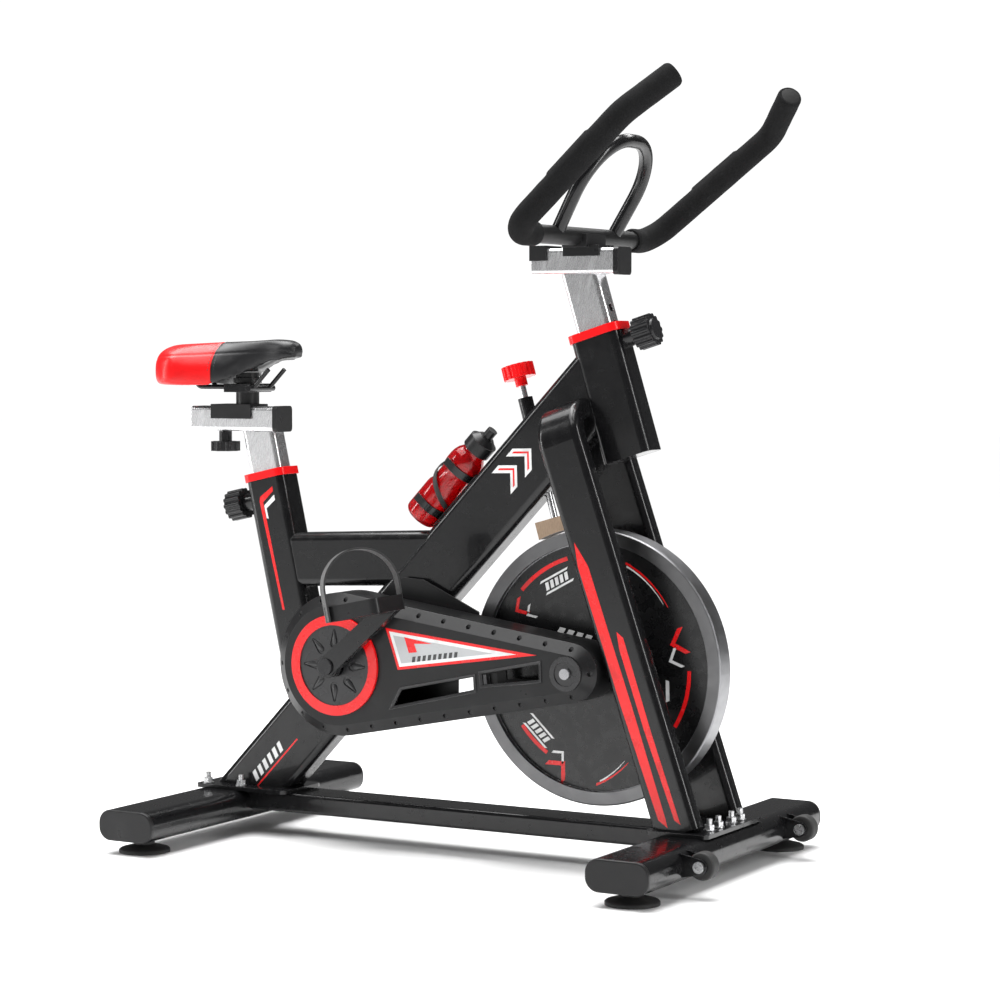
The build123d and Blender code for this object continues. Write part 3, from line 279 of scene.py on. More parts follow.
def felt():
    """Pressed brown wool felt."""
    made = Recipe("felt", (0.30, 0.20, 0.12), 0.95, Sheen_Weight=0.5, Sheen_Roughness=0.6)
    fibres = made.noise(700, 6, made.stretched(1, 1, 0.35))
    made.set("Base Color", made.blend(fibres, (0.20, 0.13, 0.08), (0.40, 0.28, 0.18)))
    made.bump(fibres, 0.7, 0.5 * MM)
    return made.material


def saddle_vinyl(seam_x):
    """Embossed vinyl: red behind the cross seam and black in front of it, darker in the seam."""
    vinyl = Recipe("saddle_vinyl", BLACK, 0.34, Specular_IOR_Level=0.3, Coat_Weight=0.08, Coat_Roughness=0.3)
    x = vinyl.axis("X")
    front = vinyl.span(x, seam_x - 0.3 * MM, seam_x + 0.3 * MM)
    grain = vinyl.cells(620)
    rubbed = vinyl.span(vinyl.noise(18, 4), 0.45, 0.7)
    red = vinyl.blend(vinyl.maths("MULTIPLY", rubbed, 0.6), RED, (0.62, 0.010, 0.012))
    black = vinyl.blend(rubbed, (0.012, 0.012, 0.013), (0.024, 0.024, 0.025))
    both = vinyl.blend(front, red, black)
    off = vinyl.maths("ABSOLUTE", vinyl.maths("SUBTRACT", x, seam_x))
    vinyl.set("Base Color", vinyl.blend(vinyl.span(off, 0.4 * MM, 1.4 * MM), (0.004, 0.004, 0.004), both))
    vinyl.set("Roughness", vinyl.span(rubbed, 0, 1, 0.40, 0.28))
    vinyl.bump(vinyl.span(grain, 0.05, 0.5), 0.22, 0.14 * MM, 0)
    return vinyl.material


def red_bottle():
    """Translucent red bottle with a slight haze and flow marks."""
    made = Recipe("bottle_red", (0.62, 0.004, 0.010), 0.12, Transmission_Weight=0.75, IOR=1.46)
    haze = made.noise(60, 3, made.stretched(1, 1, 0.2))
    made.set("Roughness", made.span(haze, 0.35, 0.65, 0.08, 0.22))
    made.set("Base Color", made.blend(haze, (0.55, 0.003, 0.008), (0.78, 0.010, 0.016)))
    made.bump(made.noise(240, 2), 0.05, 0.1 * MM, 0)
    return made.material


def vinyl_film(name, colour):
    """Printed adhesive film: nearly flat, lightly scuffed."""
    film = Recipe(name, colour, 0.28)
    scuff = film.span(film.noise(45, 6), 0.52, 0.70)
    dull = tuple(c * 0.80 + 0.01 for c in colour)
    film.set("Base Color", film.blend(scuff, colour, dull))
    film.set("Roughness", film.span(scuff, 0, 1, 0.24, 0.40))
    film.bump(film.noise(900, 2), 0.06, 0.05 * MM, 0)
    return film.material


def webbing():
    """Woven nylon strap: a fine twill across the strap."""
    made = Recipe("strap_webbing", (0.016, 0.016, 0.017), 0.6, Sheen_Weight=0.2, Sheen_Roughness=0.5)
    weft, warp = (
        made.add("ShaderNodeTexWave", {"Vector": made.place, "Scale": scale}, bands_direction=axis).outputs[1]
        for scale, axis in ((620.0, "Y"), (420.0, "X")))
    weave = made.maths("MULTIPLY", weft, warp)
    made.set("Base Color", made.blend(weave, (0.008, 0.008, 0.008), (0.035, 0.035, 0.036)))
    made.set("Roughness", made.span(weave, 0, 1, 0.75, 0.5))
    made.bump(weave, 0.6, 0.3 * MM)
    return made.material


def cover_trim():
    """Trim of the belt cover: a red ring round a black disc, and the front cap with its silver axle end."""
    trim = Recipe("cover_trim_two_tone", RED, 0.3)
    radius = trim.radius_from(CRANK)
    outside_disc = trim.span(radius, 59.9 * MM, 60.1 * MM)
    inside_rim = trim.span(radius, 76 * MM, 77 * MM, 1.0, 0.0)
    ring = trim.maths("MULTIPLY", outside_disc, inside_rim)
    hub = trim.span(trim.radius_from(WHEEL), 7.8 * MM, 8.1 * MM, 1.0, 0.0)
    dark = trim.blend(hub, (0.016, 0.016, 0.017), (0.30, 0.30, 0.31))
    trim.set("Base Color", trim.blend(ring, dark, RED))
    trim.set("Metallic", hub)
    trim.set("Roughness", trim.span(trim.noise(40, 4), 0.3, 0.7, 0.18, 0.34))
    trim.bump(trim.noise(2000, 2), 0.10, 0.06 * MM)
    return trim.material


def clear_reflector():
    """Prismatic pedal reflector."""
    made = Recipe("reflector_white", (0.80, 0.80, 0.78), 0.12, Coat_Weight=0.6, Coat_Roughness=0.05)
    prisms = made.cells(520)
    made.set("Base Color", made.blend(made.span(prisms, 0.1, 0.6), (0.90, 0.90, 0.88), (0.45, 0.46, 0.46)))
    made.set("Roughness", made.span(prisms, 0.1, 0.6, 0.10, 0.30))
    made.bump(prisms, 0.6, 0.3 * MM, 0)
    return made.material


# ---------------------------------------------------------------- mesh building
LEAST_R = 0.02 * MM             # radius that stands for 0, so that a ring's points stay apart


def linked(thing):
    """The same object, now part of the scene."""
    bpy.context.scene.collection.objects.link(thing)
    return thing


def finish_piece(name, mesh, materials, body, replaces=(), sharp=35):
    """Turn a bmesh into a smooth-shaded object that rides on a body."""
    bmesh.ops.remove_doubles(mesh, verts=mesh.verts, dist=1e-6)
    bmesh.ops.recalc_face_normals(mesh, faces=mesh.faces)
    data = bpy.data.meshes.new(name)
    mesh.to_mesh(data)
    mesh.free()
    made = linked(bpy.data.objects.new(name, data))
    for material in materials:
        data.materials.append(material)
    smooth(data, sharp)
    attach(made, body)
    if replaces:
        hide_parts(*replaces)
    return made


def smooth(data, sharp=35):
    """Smooth shading, with edges kept sharp above an angle in degrees."""
    for polygon in data.polygons:
        polygon.use_smooth = True
    data.set_sharp_from_angle(angle=radians(sharp))


def join_rings(mesh, rings, closed=False, capped=True):
    """Quads between rings of points; the ends are capped, or the last ring meets the first."""
    rows = [[mesh.verts.new(p) for p in ring] for ring in rings]
    pairs = list(zip(rows, rows[1:])) + ([(rows[-1], rows[0])] if closed else [])
    for first, second in pairs:
        for i in range(len(first)):
            j = (i + 1) % len(first)
            mesh.faces.new((first[i], first[j], second[j], second[i]))
    if capped and not closed:
        mesh.faces.new(rows[0])
        mesh.faces.new(rows[-1][::-1])


def turned(mesh, profile, place, sides=48):
    """Solid of revolution about a matrix's Z axis, from (radius, height) pairs."""
    rings = []
    for radius, height in profile:
        radius = max(radius, LEAST_R)
        rings.append([place @ Vector((radius * cos(tau * i / sides), radius * sin(tau * i / sides), height))
                      for i in range(sides)])
    join_rings(mesh, rings)


def facing(origin, axis, across=Vector((0, 1, 0))):
    """Matrix with its Z along an axis and its X as near as it can be to another direction."""
    z = axis.normalized()
    x = (across - across.dot(z) * z).normalized()
    y = z.cross(x)
    return Matrix.Translation(origin) @ Matrix((x, y, z)).transposed().to_4x4()


def rounded_route(points, radius, step=4 * MM):
    """Points along a polyline whose corners are tangent arcs."""
    route = [points[0]]
    for before, corner, after in zip(points, points[1:], points[2:]):
        back, ahead = (before - corner).normalized(), (after - corner).normalized()
        half = back.angle(ahead) / 2
        reach = radius * cos(half) / sin(half)
        hub = corner + (back + ahead).normalized() * (radius / sin(half))
        start, end = corner + back * reach - hub, corner + ahead * reach - hub
        sweep = start.angle(end)
        count = max(4, int(sweep * radius / step))
        for i in range(count + 1):
            share = i / count
            route.append(hub + (start * sin((1 - share) * sweep) + end * sin(share * sweep)) / sin(sweep))
    route.append(points[-1])
    even = [route[0]]
    for first, second in zip(route, route[1:]):
        count = max(1, round((second - first).length / step))
        even += [first.lerp(second, (i + 1) / count) for i in range(count)]
    return even


def swept(mesh, route, radius, sides=36):
    """Tube along a route. radius(distance, side) is its half thickness on the side that faces a direction."""
    start = (route[1] - route[0]).normalized()
    normal = Vector((1, 0, 0)) if abs(start.y) > 0.9 else Vector((0, 1, 0))
    rings, run = [], 0.0
    for i, point in enumerate(route):
        ahead = (route[min(i + 1, len(route) - 1)] - route[max(i - 1, 0)]).normalized()
        normal = (normal - normal.dot(ahead) * ahead).normalized()
        other = ahead.cross(normal)
        run += (point - route[i - 1]).length if i else 0.0
        ring = []
        for k in range(sides):
            side = normal * cos(tau * k / sides) + other * sin(tau * k / sides)
            ring.append(point + side * radius(run, side))
        rings.append(ring)
    join_rings(mesh, rings)


def film(mesh, outline, y, hand, high, low=-0.15 * MM):
    """Thin flat patch on a face square to the bike's width; hand is -1 on the right and 1 on the left."""
    rims = [[mesh.verts.new((x, y + hand * level, z)) for x, z in outline] for level in (low, high)]
    for i in range(len(outline)):
        j = (i + 1) % len(outline)
        mesh.faces.new((rims[0][i], rims[0][j], rims[1][j], rims[1][i]))
    mesh.faces.new(rims[0][::-1])
    mesh.faces.new(rims[1])


def inset(outline, distance):
    """Convex outline moved inwards by a distance."""
    area = sum(a[0] * b[1] - b[0] * a[1] for a, b in zip(outline, outline[1:] + outline[:1]))
    turn = 1 if area > 0 else -1
    moved = []
    for i, here in enumerate(outline):
        before, after = outline[i - 1], outline[(i + 1) % len(outline)]
        one = Vector((here[0] - before[0], here[1] - before[1])).normalized()
        two = Vector((after[0] - here[0], after[1] - here[1])).normalized()
        normal_one, normal_two = Vector((-one.y, one.x)) * turn, Vector((-two.y, two.x)) * turn
        shift = (normal_one + normal_two) / (1 + normal_one.dot(normal_two))
        moved.append((here[0] + shift.x * distance, here[1] + shift.y * distance))
    return moved


def mm(*pairs):
    """Outline in metres from millimetre pairs."""
    return [(x * MM, z * MM) for x, z in pairs]


def tilted(points, origin, angle):
    """Local millimetre points, turned by an angle in degrees and moved to an origin in metres."""
    c, s = cos(radians(angle)), sin(radians(angle))
    return [(origin[0] + (x * c - z * s) * MM, origin[1] + (x * s + z * c) * MM) for x, z in points]


def slanted_bars(count, pitch, wide, high, slant):
    """Outlines of a row of slanting bars, in millimetres, that start at the origin."""
    bar = [(0, 0), (wide, 0), (wide + slant, high), (slant, high)]
    return [[(i * pitch + x, z) for x, z in bar] for i in range(count)]


def chevron(arm, thick):
    """V-shaped outline that points along +X, in millimetres."""
    return [(0, 0), (-arm, arm), (-arm - thick, arm), (-thick, 0), (-arm - thick, -arm), (-arm, -arm)]


# ---------------------------------------------------------------- finishes of the CAD nodes
SEAM_X = -0.393
FINISH = {
    "black_paint": painted_steel(),
    "zinc_steel": zinc_steel(),
    "black_oxide": moulded_plastic("black_oxide", (0.020, 0.020, 0.021), 0.30, 0.08),
    "black_plastic": moulded_plastic(),
    "red_plastic": moulded_plastic("red_plastic", RED, 0.26, 0.08),
    "rubber": rubber(),
    "satin_chrome": satin_chrome(),
    "cast_iron": flywheel_iron(),
    "alloy": turned_alloy(),
    "foam": foam(),
    "felt": felt(),
    "saddle_cover": saddle_vinyl(SEAM_X),
    "red_bottle": red_bottle(),
}
RED_FILM = vinyl_film("film_red", (0.83, 0.010, 0.012))
WHITE_FILM = vinyl_film("film_white", (0.84, 0.84, 0.84))
GREY_FILM = vinyl_film("film_grey", (0.50, 0.51, 0.52))
DARK_FILM = vinyl_film("film_dark", (0.05, 0.05, 0.052))
KNOB_GLOSS = moulded_plastic("knob_gloss", (0.014, 0.014, 0.015), 0.20, 0.05)
# glossy cover plastic painted a lighter grey than the cover itself: painted light for the sky caught on the window
# lips and the disc's beads
PAINTED_LIGHT_GLOSS = moulded_plastic("painted_light_gloss", (0.035, 0.035, 0.036), 0.16, 0.02)
OWN_FINISH = {
    "cover_trim": cover_trim(),
    "toe_strap_right": webbing(),
    "seat_pin_knob": KNOB_GLOSS,
    "handlebar_pin_knob": KNOB_GLOSS,
    "slider_knob": KNOB_GLOSS,
    "handlebar_bar": moulded_plastic("bar_enamel", (0.007, 0.007, 0.0072), 0.45, 0.06),
}
OWN_FINISH["toe_strap_left"] = OWN_FINISH["toe_strap_right"]

for part in frame["record"]["subparts"]:
    node = nodes[part["node"]]
    node.data.materials.clear()
    node.data.materials.append(OWN_FINISH.get(part["node"], FINISH[part["material_slot"]]))
    smooth(node.data, 30)

# ---------------------------------------------------------------- printed films
SIDES = (("right", -1), ("left", 1))
FILM_HIGH = 0.2 * MM


def film_piece(name, outlines, y, hand, high, material, body):
    """One piece of several film patches in one plane."""
    mesh = bmesh.new()
    for outline in outlines:
        film(mesh, outline, y, hand, high)
    return finish_piece(name, mesh, [material], body)


LEG_STRIPES = (
    mm((256, 474), (278.7, 440.4), (311.8, 347), (348.4, 245), (401, 91), (405, 77), (390.3, 86.8),
       (331, 243.8), (295.3, 346.3), (262, 439.7)),
    mm((323.8, 349.4), (334.3, 341.8), (377.3, 214.3), (425, 83.2), (415.3, 88.9), (367.2, 213.6),
       (328.2, 325.2)),
)
SEAT_STRIPE = mm((-299, 538), (-298, 531), (-316, 513), (-277, 349), (-281, 348.5), (-322.5, 514),
                 (-321.5, 521))
SEAT_FLASH = mm((-296, 525), (-294, 517.5), (-309.5, 504), (-306, 488), (-309.5, 488.5), (-314, 508))
MAIN_TILT = 46.5                # slope of the main tube, in degrees
ARROWS_AT = mm((154, 604), (130, 579))
BARS_AT = (-331 * MM, 79 * MM)
for word, hand in SIDES:
    leg_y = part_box("fork_leg_" + word)[0 if hand < 0 else 1].y
    film_piece("leg_stripes_" + word, LEG_STRIPES, leg_y, hand, FILM_HIGH, RED_FILM, "frame")
    seat_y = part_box("seat_tube")[0 if hand < 0 else 1].y
    film_piece("seat_tube_stripe_" + word, [SEAT_STRIPE], seat_y, hand, FILM_HIGH, RED_FILM, "frame")
    film_piece("seat_tube_flash_" + word, [SEAT_FLASH], seat_y, hand, 0.25 * MM, WHITE_FILM, "frame")
    main_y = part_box("main_tube")[0 if hand < 0 else 1].y
    arrows = [tilted(chevron(22, 16), place, MAIN_TILT) for place in ARROWS_AT]
    film_piece("main_tube_arrows_white_" + word, arrows, main_y, hand, FILM_HIGH, WHITE_FILM, "frame")
    arrow_cores = [inset(arrow, 4.2 * MM) for arrow in arrows]
    film_piece("main_tube_arrows_red_" + word, arrow_cores, main_y, hand, 0.3 * MM, RED_FILM, "frame")
    bars = [tilted(bar, BARS_AT, MAIN_TILT) for bar in slanted_bars(6, 13, 7.5, 15, 5)]
    film_piece("main_tube_bars_" + word, bars, main_y, hand, FILM_HIGH, WHITE_FILM, "frame")
    line = tilted([(-12, -7), (104, -7), (104, -4.5), (-12, -4.5)], BARS_AT, MAIN_TILT)
    film_piece("main_tube_line_" + word, [line], main_y, hand, FILM_HIGH, RED_FILM, "frame")


def band(start_radius, end_radius, start, end, thick, thin=1.0):
    """Arc-shaped outline round the flywheel's axle, between two angles, that may thin out towards its end."""
    steps = 14
    outer, inner = [], []
    for i in range(steps + 1):
        share = i / steps
        turn = radians(start + (end - start) * share)
        middle_radius = start_radius + (end_radius - start_radius) * share
        half = thick / 2 * (1 + (thin - 1) * share)
        for rim, radius in ((outer, middle_radius + half), (inner, middle_radius - half)):
            rim.append((WHEEL.x + radius * MM * cos(turn), WHEEL.z + radius * MM * sin(turn)))
    return outer + inner[::-1]


def at_polar(radius, angle):
    """Point round the flywheel's axle."""
    return (WHEEL.x + radius * MM * cos(radians(angle)), WHEEL.z + radius * MM * sin(radians(angle)))


def hatched_box(radius, angle):
    """Two rails with slanting bars between them, laid along the wheel's rim."""
    origin, turn = at_polar(radius, angle), angle - 90
    rails = [
        [(-26, -11), (24, -11), (27.5, -8), (-22.5, -8)],
        [(-27.5, 8), (22.5, 8), (26, 11), (-24, 11)],
    ]
    inner = [[(x - 22, z - 5.5) for x, z in bar] for bar in slanted_bars(5, 8.8, 5.6, 11, 3)]
    return [tilted(shape, origin, turn) for shape in rails + inner]


RED_MARKS = [
    band(163.5, 163.5, 107, 139, 6),
    band(148.5, 148.5, 1, -32, 6),
    band(160, 147, 73, 39, 3.5, 0.3),
    band(153, 153, 217, 238, 6),
    band(171, 145, 270, 291, 4, 0.3),
    tilted(chevron(19, 9), at_polar(124, 18), 200),
    tilted(chevron(19, 9), at_polar(150, 250), 45),
    tilted(chevron(14, 7), at_polar(154, 151), 215),
]
WHITE_MARKS = [
    band(156, 144, 72, 42, 2.5, 0.3),
    band(166, 141, 272, 289, 3, 0.3),
    tilted(chevron(15, 6), at_polar(117, 7), 205),
    tilted(chevron(12, 5), at_polar(137, 247), 45),
    tilted(chevron(11, 5), at_polar(135, 149), 215),
    tilted([(-3, -16), (1, 16), (6, 14), (3, -14)], at_polar(116, -14), 8),
]
WHITE_MARKS += hatched_box(139, 118) + hatched_box(137, 226)
WHITE_MARKS += [tilted(bar, (187 * MM, 333 * MM), -11) for bar in slanted_bars(4, 15, 10, 12, 5)]
WEB_Y = 10 * MM                 # half the thickness of the flywheel's web
for word, hand in SIDES:
    for colour, marks, material in (("red", RED_MARKS, RED_FILM), ("white", WHITE_MARKS, WHITE_FILM)):
        name = f"flywheel_marks_{colour}_{word}"
        film_piece(name, marks, hand * WEB_Y, hand, 0.25 * MM, material, "flywheel")

COVER_Y = -105 * MM             # outer face of the belt cover
BADGE_TOP = 0.42 * MM           # height of the films that lie on the badge
badge = mm((-46, 339), (-25, 278), (207, 312))
for name, distance, high, material in (("red", 0, 0.15, RED_FILM), ("white", 4.2, 0.25, WHITE_FILM),
                                       ("grey", 9.0, 0.32, GREY_FILM)):
    layer = [inset(badge, distance * MM)]
    film_piece("cover_badge_" + name, layer, COVER_Y, -1, high * MM, material, "frame")
badge_mark = mm((-14, 327), (-6, 304), (8, 306), (3, 318), (34, 319.5))
film_piece("cover_badge_mark", [badge_mark], COVER_Y, -1, BADGE_TOP, RED_FILM, "frame")
strip = [tilted(bar, (-1 * MM, 290.5 * MM), 8.5) for bar in slanted_bars(9, 9, 5.5, 8, 2.5)]
film_piece("cover_badge_bars", strip, COVER_Y, -1, BADGE_TOP, DARK_FILM, "frame")

# ---------------------------------------------------------------- raised lips round the cover's windows
WINDOWS = (
    mm((-18.5, 249), (-32, 224.5), (103, 256), (102, 274.5)),
    mm((117, 280.5), (118.5, 264.5), (210.5, 277), (209.5, 299)),
)
LIP = ((5.0, -0.2), (4.7, 1.3), (4.0, 2.0), (3.4, 1.9), (0.3, -0.4), (0.3, -1.5), (2.0, -1.8))


def window_lips():
    """Raised lip round each window, from (outwards, high) pairs in millimetres."""
    mesh = bmesh.new()
    for window in WINDOWS:
        rings = []
        for out, high in LIP:
            rings.append([Vector((x, COVER_Y - high * MM, z)) for x, z in inset(window, -out * MM)])
        join_rings(mesh, rings, closed=True, capped=False)
    # the lips' lighter grey than the cover is painted light
    return finish_piece("cover_window_lips", mesh, [PAINTED_LIGHT_GLOSS], "frame", (), 25)


window_lips()

# ---------------------------------------------------------------- teardrop beads in the disc's dimples
BEADS = 8
BEAD_R, BEAD_LONG = 41, 26      # millimetres from the crank's axis, and along the bead
BEAD_WIDE, BEAD_THIN = 6.2, 1.6
BEAD_FLOOR = 1.4                # depth of the dimples' floor in front of the cover's face


def disc_beads():
    """Teardrops that point outwards round the disc, each a stack of shrinking outlines."""
    mesh, sides = bmesh.new(), 28
    for number in range(BEADS):
        turn = tau * number / BEADS
        out, across = Vector((cos(turn), 0, sin(turn))), Vector((-sin(turn), 0, cos(turn)))
        rings = []
        for size, high in ((1.0, -0.8), (0.97, 0.2), (0.82, 1.1), (0.5, 1.6), (0.06, 1.8)):
            centre = Vector((CRANK.x, COVER_Y - (BEAD_FLOOR + high) * MM, CRANK.z))
            ring = []
            for i in range(sides):
                share = 0.5 - 0.5 * cos(tau * i / sides)
                half = (BEAD_WIDE * (1 - share) + BEAD_THIN * share) * sin(tau * i / sides)
                reach = BEAD_R + (share - 0.5) * BEAD_LONG * size
                ring.append(centre + (out * reach + across * half * size) * MM)
            rings.append(ring)
        join_rings(mesh, rings)
    # the beads' lighter grey than the cover is painted light
    return finish_piece("cover_disc_beads", mesh, [PAINTED_LIGHT_GLOSS], "frame", (), 60)


disc_beads()


# ---------------------------------------------------------------- saddle
SADDLE_LOW, SADDLE_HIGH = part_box("saddle")
REAR, NOSE = SADDLE_LOW.x, SADDLE_HIGH.x
SADDLE_LONG = NOSE - REAR


def ease(value, low, high):
    """0 below low, 1 above high, and a smooth step between."""
    share = min(max((value - low) / (high - low), 0.0), 1.0)
    return share * share * (3 - 2 * share)


def between(x, table):
    """Value at x from a table of places and values, in millimetres, with straight runs between them."""
    for (x0, v0), (x1, v1) in zip(table, table[1:]):
        if x <= x1 * MM:
            break
    share = min(max((x - x0 * MM) / ((x1 - x0) * MM), 0.0), 1.0)
    return (v0 + (v1 - v0) * share) * MM


def rounding(x):
    """How far the saddle's rear and nose are rounded off: two values from 0 to 1, along quarter circles."""
    back = min(max((REAR + 0.036 - x) / 0.036, 0.0), 1.0)
    front = min(max((x - (NOSE - 0.022)) / 0.022, 0.0), 1.0)
    return 1 - sqrt(1 - back * back), 1 - sqrt(1 - front * front)


def saddle_half_width(x):
    """Half width of the saddle's plan: a wide rear that narrows to the nose in a hollow curve."""
    share = min(max((x - (REAR + 0.060)) / (NOSE - 0.050 - REAR - 0.060), 0.0), 1.0)
    half = 0.0235 + 0.062 * (1 - share) ** 1.5
    back = (REAR + 0.055 - x) / 0.055
    front = (x - (NOSE - 0.024)) / 0.024
    if back > 0:
        half *= sqrt(max(1 - back * back * 0.90, 0.0))
    if front > 0:
        half *= sqrt(max(1 - front * front * 0.90, 0.0))
    return half


def saddle_top(x):
    """Height of the saddle's ridge."""
    rise = 0.7535 + 0.0080 * ease(x, REAR, NOSE - 0.03)
    back, front = rounding(x)
    return rise - 0.029 * back - 0.012 * front


SKIRT = ((-507, 690.5), (-402, 691), (-372, 700), (-341, 715), (-315, 726), (-262, 734))


def saddle_skirt(x):
    """Height of the skirt's lower edge: level behind, swept up to the nose."""
    return between(x, SKIRT) + 0.027 * rounding(x)[0]


def saddle_mesh():
    """Closed form in rings across the bike: crowned top, rounded sides, skirt, and a hollow underneath."""
    mesh, rings = bmesh.new(), []
    stations = 70
    for i in range(stations + 1):
        x = REAR + SADDLE_LONG * (0.5 - 0.5 * cos(pi * (0.02 + 0.96 * i / stations)))
        half, top, low = saddle_half_width(x), saddle_top(x), saddle_skirt(x)
        hollow = min(max(0.7165 + 0.018 * ease(x, -0.352, NOSE - 0.03), low + 0.002), top - 0.008)
        hollow = low + (hollow - low) * ease(x, REAR + 0.022, REAR + 0.050)
        side = []
        for k in range(15):
            turn = pi / 2 * k / 14
            side.append((half * sin(turn) ** 0.76, low + 0.010 + (top - low - 0.010) * cos(turn) ** 0.58))
        side += [(half * 0.985, low + 0.004), (half * 0.94, low), (half * 0.87, low)]
        side += [(half * 0.83, low + 0.004), (half * 0.78, hollow - 0.002)]
        side += [(half * 0.70, hollow), (half * 0.35, hollow)]
        ring = side + [(0.0, hollow)] + [(-y, z) for y, z in side[:0:-1]]
        rings.append([(x, y, z) for y, z in ring])
    join_rings(mesh, rings)
    return mesh


def cushioned(mesh, pressure, cap, voxel=0.0042, frames=20):
    """Blow a closed form up as padded cloth: remesh it, simulate, and cap how far each point may move."""
    data = bpy.data.meshes.new("cushion_start")
    bmesh.ops.recalc_face_normals(mesh, faces=mesh.faces)
    mesh.to_mesh(data)
    mesh.free()
    pad = linked(bpy.data.objects.new("cushion_start", data))
    remesh = pad.modifiers.new("even", "REMESH")
    remesh.mode, remesh.voxel_size = "VOXEL", voxel
    graph = bpy.context.evaluated_depsgraph_get()
    even = bpy.data.meshes.new_from_object(pad.evaluated_get(graph))
    pad.modifiers.clear()
    pad.data = even
    start = [v.co.copy() for v in even.vertices]
    cloth = pad.modifiers.new("blow", "CLOTH")
    cloth.settings.quality = 6
    cloth.settings.use_pressure = True
    cloth.settings.uniform_pressure_force = pressure
    cloth.settings.effector_weights.gravity = 0.0
    cloth.settings.tension_stiffness = 25
    cloth.settings.compression_stiffness = 25
    cloth.settings.bending_stiffness = 2.0
    cloth.point_cache.frame_start, cloth.point_cache.frame_end = 1, frames
    for number in range(1, frames + 1):
        bpy.context.scene.frame_set(number)
    graph = bpy.context.evaluated_depsgraph_get()
    blown = bpy.data.meshes.new_from_object(pad.evaluated_get(graph))
    pad.modifiers.clear()
    pad.data = blown
    for vertex, home in zip(blown.vertices, start):
        shift = vertex.co - home
        vertex.co = home + shift * min(1.0, cap / max(shift.length, 1e-9))
    bpy.context.scene.frame_set(1)
    made = bmesh.new()
    made.from_mesh(pad.data)
    bpy.data.objects.remove(pad)
    return made


def relax(mesh, rounds, factor=0.5):
    """Even out a mesh."""
    every_axis = {"use_axis_x": True, "use_axis_y": True, "use_axis_z": True}
    for _ in range(rounds):
        bmesh.ops.smooth_vert(mesh, verts=mesh.verts, factor=factor, **every_axis)


def subdivide_smooth(mesh):
    """One Catmull-Clark subdivision."""
    data = bpy.data.meshes.new("subdivide_start")
    mesh.to_mesh(data)
    mesh.free()
    holder = linked(bpy.data.objects.new("subdivide_start", data))
    holder.modifiers.new("finer", "SUBSURF").levels = 1
    graph = bpy.context.evaluated_depsgraph_get()
    finer = bpy.data.meshes.new_from_object(holder.evaluated_get(graph))
    bpy.data.objects.remove(holder)
    made = bmesh.new()
    made.from_mesh(finer)
    return made


EDGE_SEAM_DOWN = 16.5 * MM      # from the ridge to the seam round the edge


def build_saddle():
    """Padded saddle: simulated cover, then its cross seam, edge seam and relief channel pressed in."""
    mesh = cushioned(saddle_mesh(), pressure=3.0, cap=2.5 * MM)
    relax(mesh, 3)
    mesh = subdivide_smooth(mesh)
    mesh.normal_update()
    for vertex in mesh.verts:
        p, n = vertex.co, vertex.normal
        depth = 1.1 * MM * exp(-((p.x - SEAM_X) / (1.5 * MM)) ** 2)
        edge = saddle_top(p.x) - EDGE_SEAM_DOWN
        if abs(n.z) < 0.93:
            depth += 0.8 * MM * exp(-((p.z - edge) / (1.6 * MM)) ** 2) * ease(p.x, REAR + 0.004, REAR + 0.03)
        if n.z > 0.3:
            along = ease(p.x, REAR + 0.015, REAR + 0.07) * (1 - ease(p.x, NOSE - 0.09, NOSE - 0.04))
            depth += 3.2 * MM * exp(-(p.y / (9 * MM)) ** 2) * along
        vertex.co = p - n * depth
    for vertex in mesh.verts:
        for k in range(3):
            vertex.co[k] = min(max(vertex.co[k], SADDLE_LOW[k]), SADDLE_HIGH[k])
    materials = [FINISH["saddle_cover"], FINISH["black_plastic"]]
    made = finish_piece("saddle_cover", mesh, materials, "seat_slider", ["saddle"], 60)
    for polygon in made.data.polygons:
        x, y, _ = polygon.center
        inside = abs(y) < 0.88 * saddle_half_width(x) and REAR + 0.018 < x < NOSE - 0.010
        if inside and polygon.normal.z < -0.1:
            polygon.material_index = 1
    return made


saddle = build_saddle()


THREAD = vinyl_film("thread", (0.05, 0.05, 0.052))
STITCH = (-1, -0.7, 0, 0.7, 1)  # points along a stitch, in half lengths; its ends dip into the cover


def stitches(name, surface, path, body, long=3.0 * MM, gap=1.6 * MM, thick=0.45 * MM):
    """Row of small raised thread stitches along points that lie on a surface."""
    tree = BVHTree.FromObject(surface, bpy.context.evaluated_depsgraph_get())
    mesh, run, start = bmesh.new(), 0.0, path[0]
    for first, second in zip(path, path[1:]):
        run += (second - first).length
        if run < long + gap:
            continue
        place, normal, _, _ = tree.find_nearest(start.lerp(second, 0.5))
        along = (second - start).normalized()
        along = (along - along.dot(normal) * normal).normalized()
        thread = [place + along * (s * long / 2) - normal * abs(s) * 0.35 * MM for s in STITCH]
        swept(mesh, thread, lambda distance, side: thick, 8)
        run, start = 0.0, second
    return finish_piece(name, mesh, [THREAD], body)


ARCH_STEPS = 180
for name, off in (("saddle_stitches_rear", -4 * MM), ("saddle_stitches_front", 4 * MM)):
    tree = BVHTree.FromObject(saddle, bpy.context.evaluated_depsgraph_get())
    centre = Vector((SEAM_X + off, 0, 0.722))
    line = []
    for i in range(ARCH_STEPS + 1):
        turn = radians(-8 + 196 * i / ARCH_STEPS)
        side = Vector((0, cos(turn), sin(turn)))
        hit = tree.ray_cast(centre + side * 0.2, -side)
        if hit[0]:
            line.append(hit[0])
    stitches(name, saddle, line, "seat_slider")


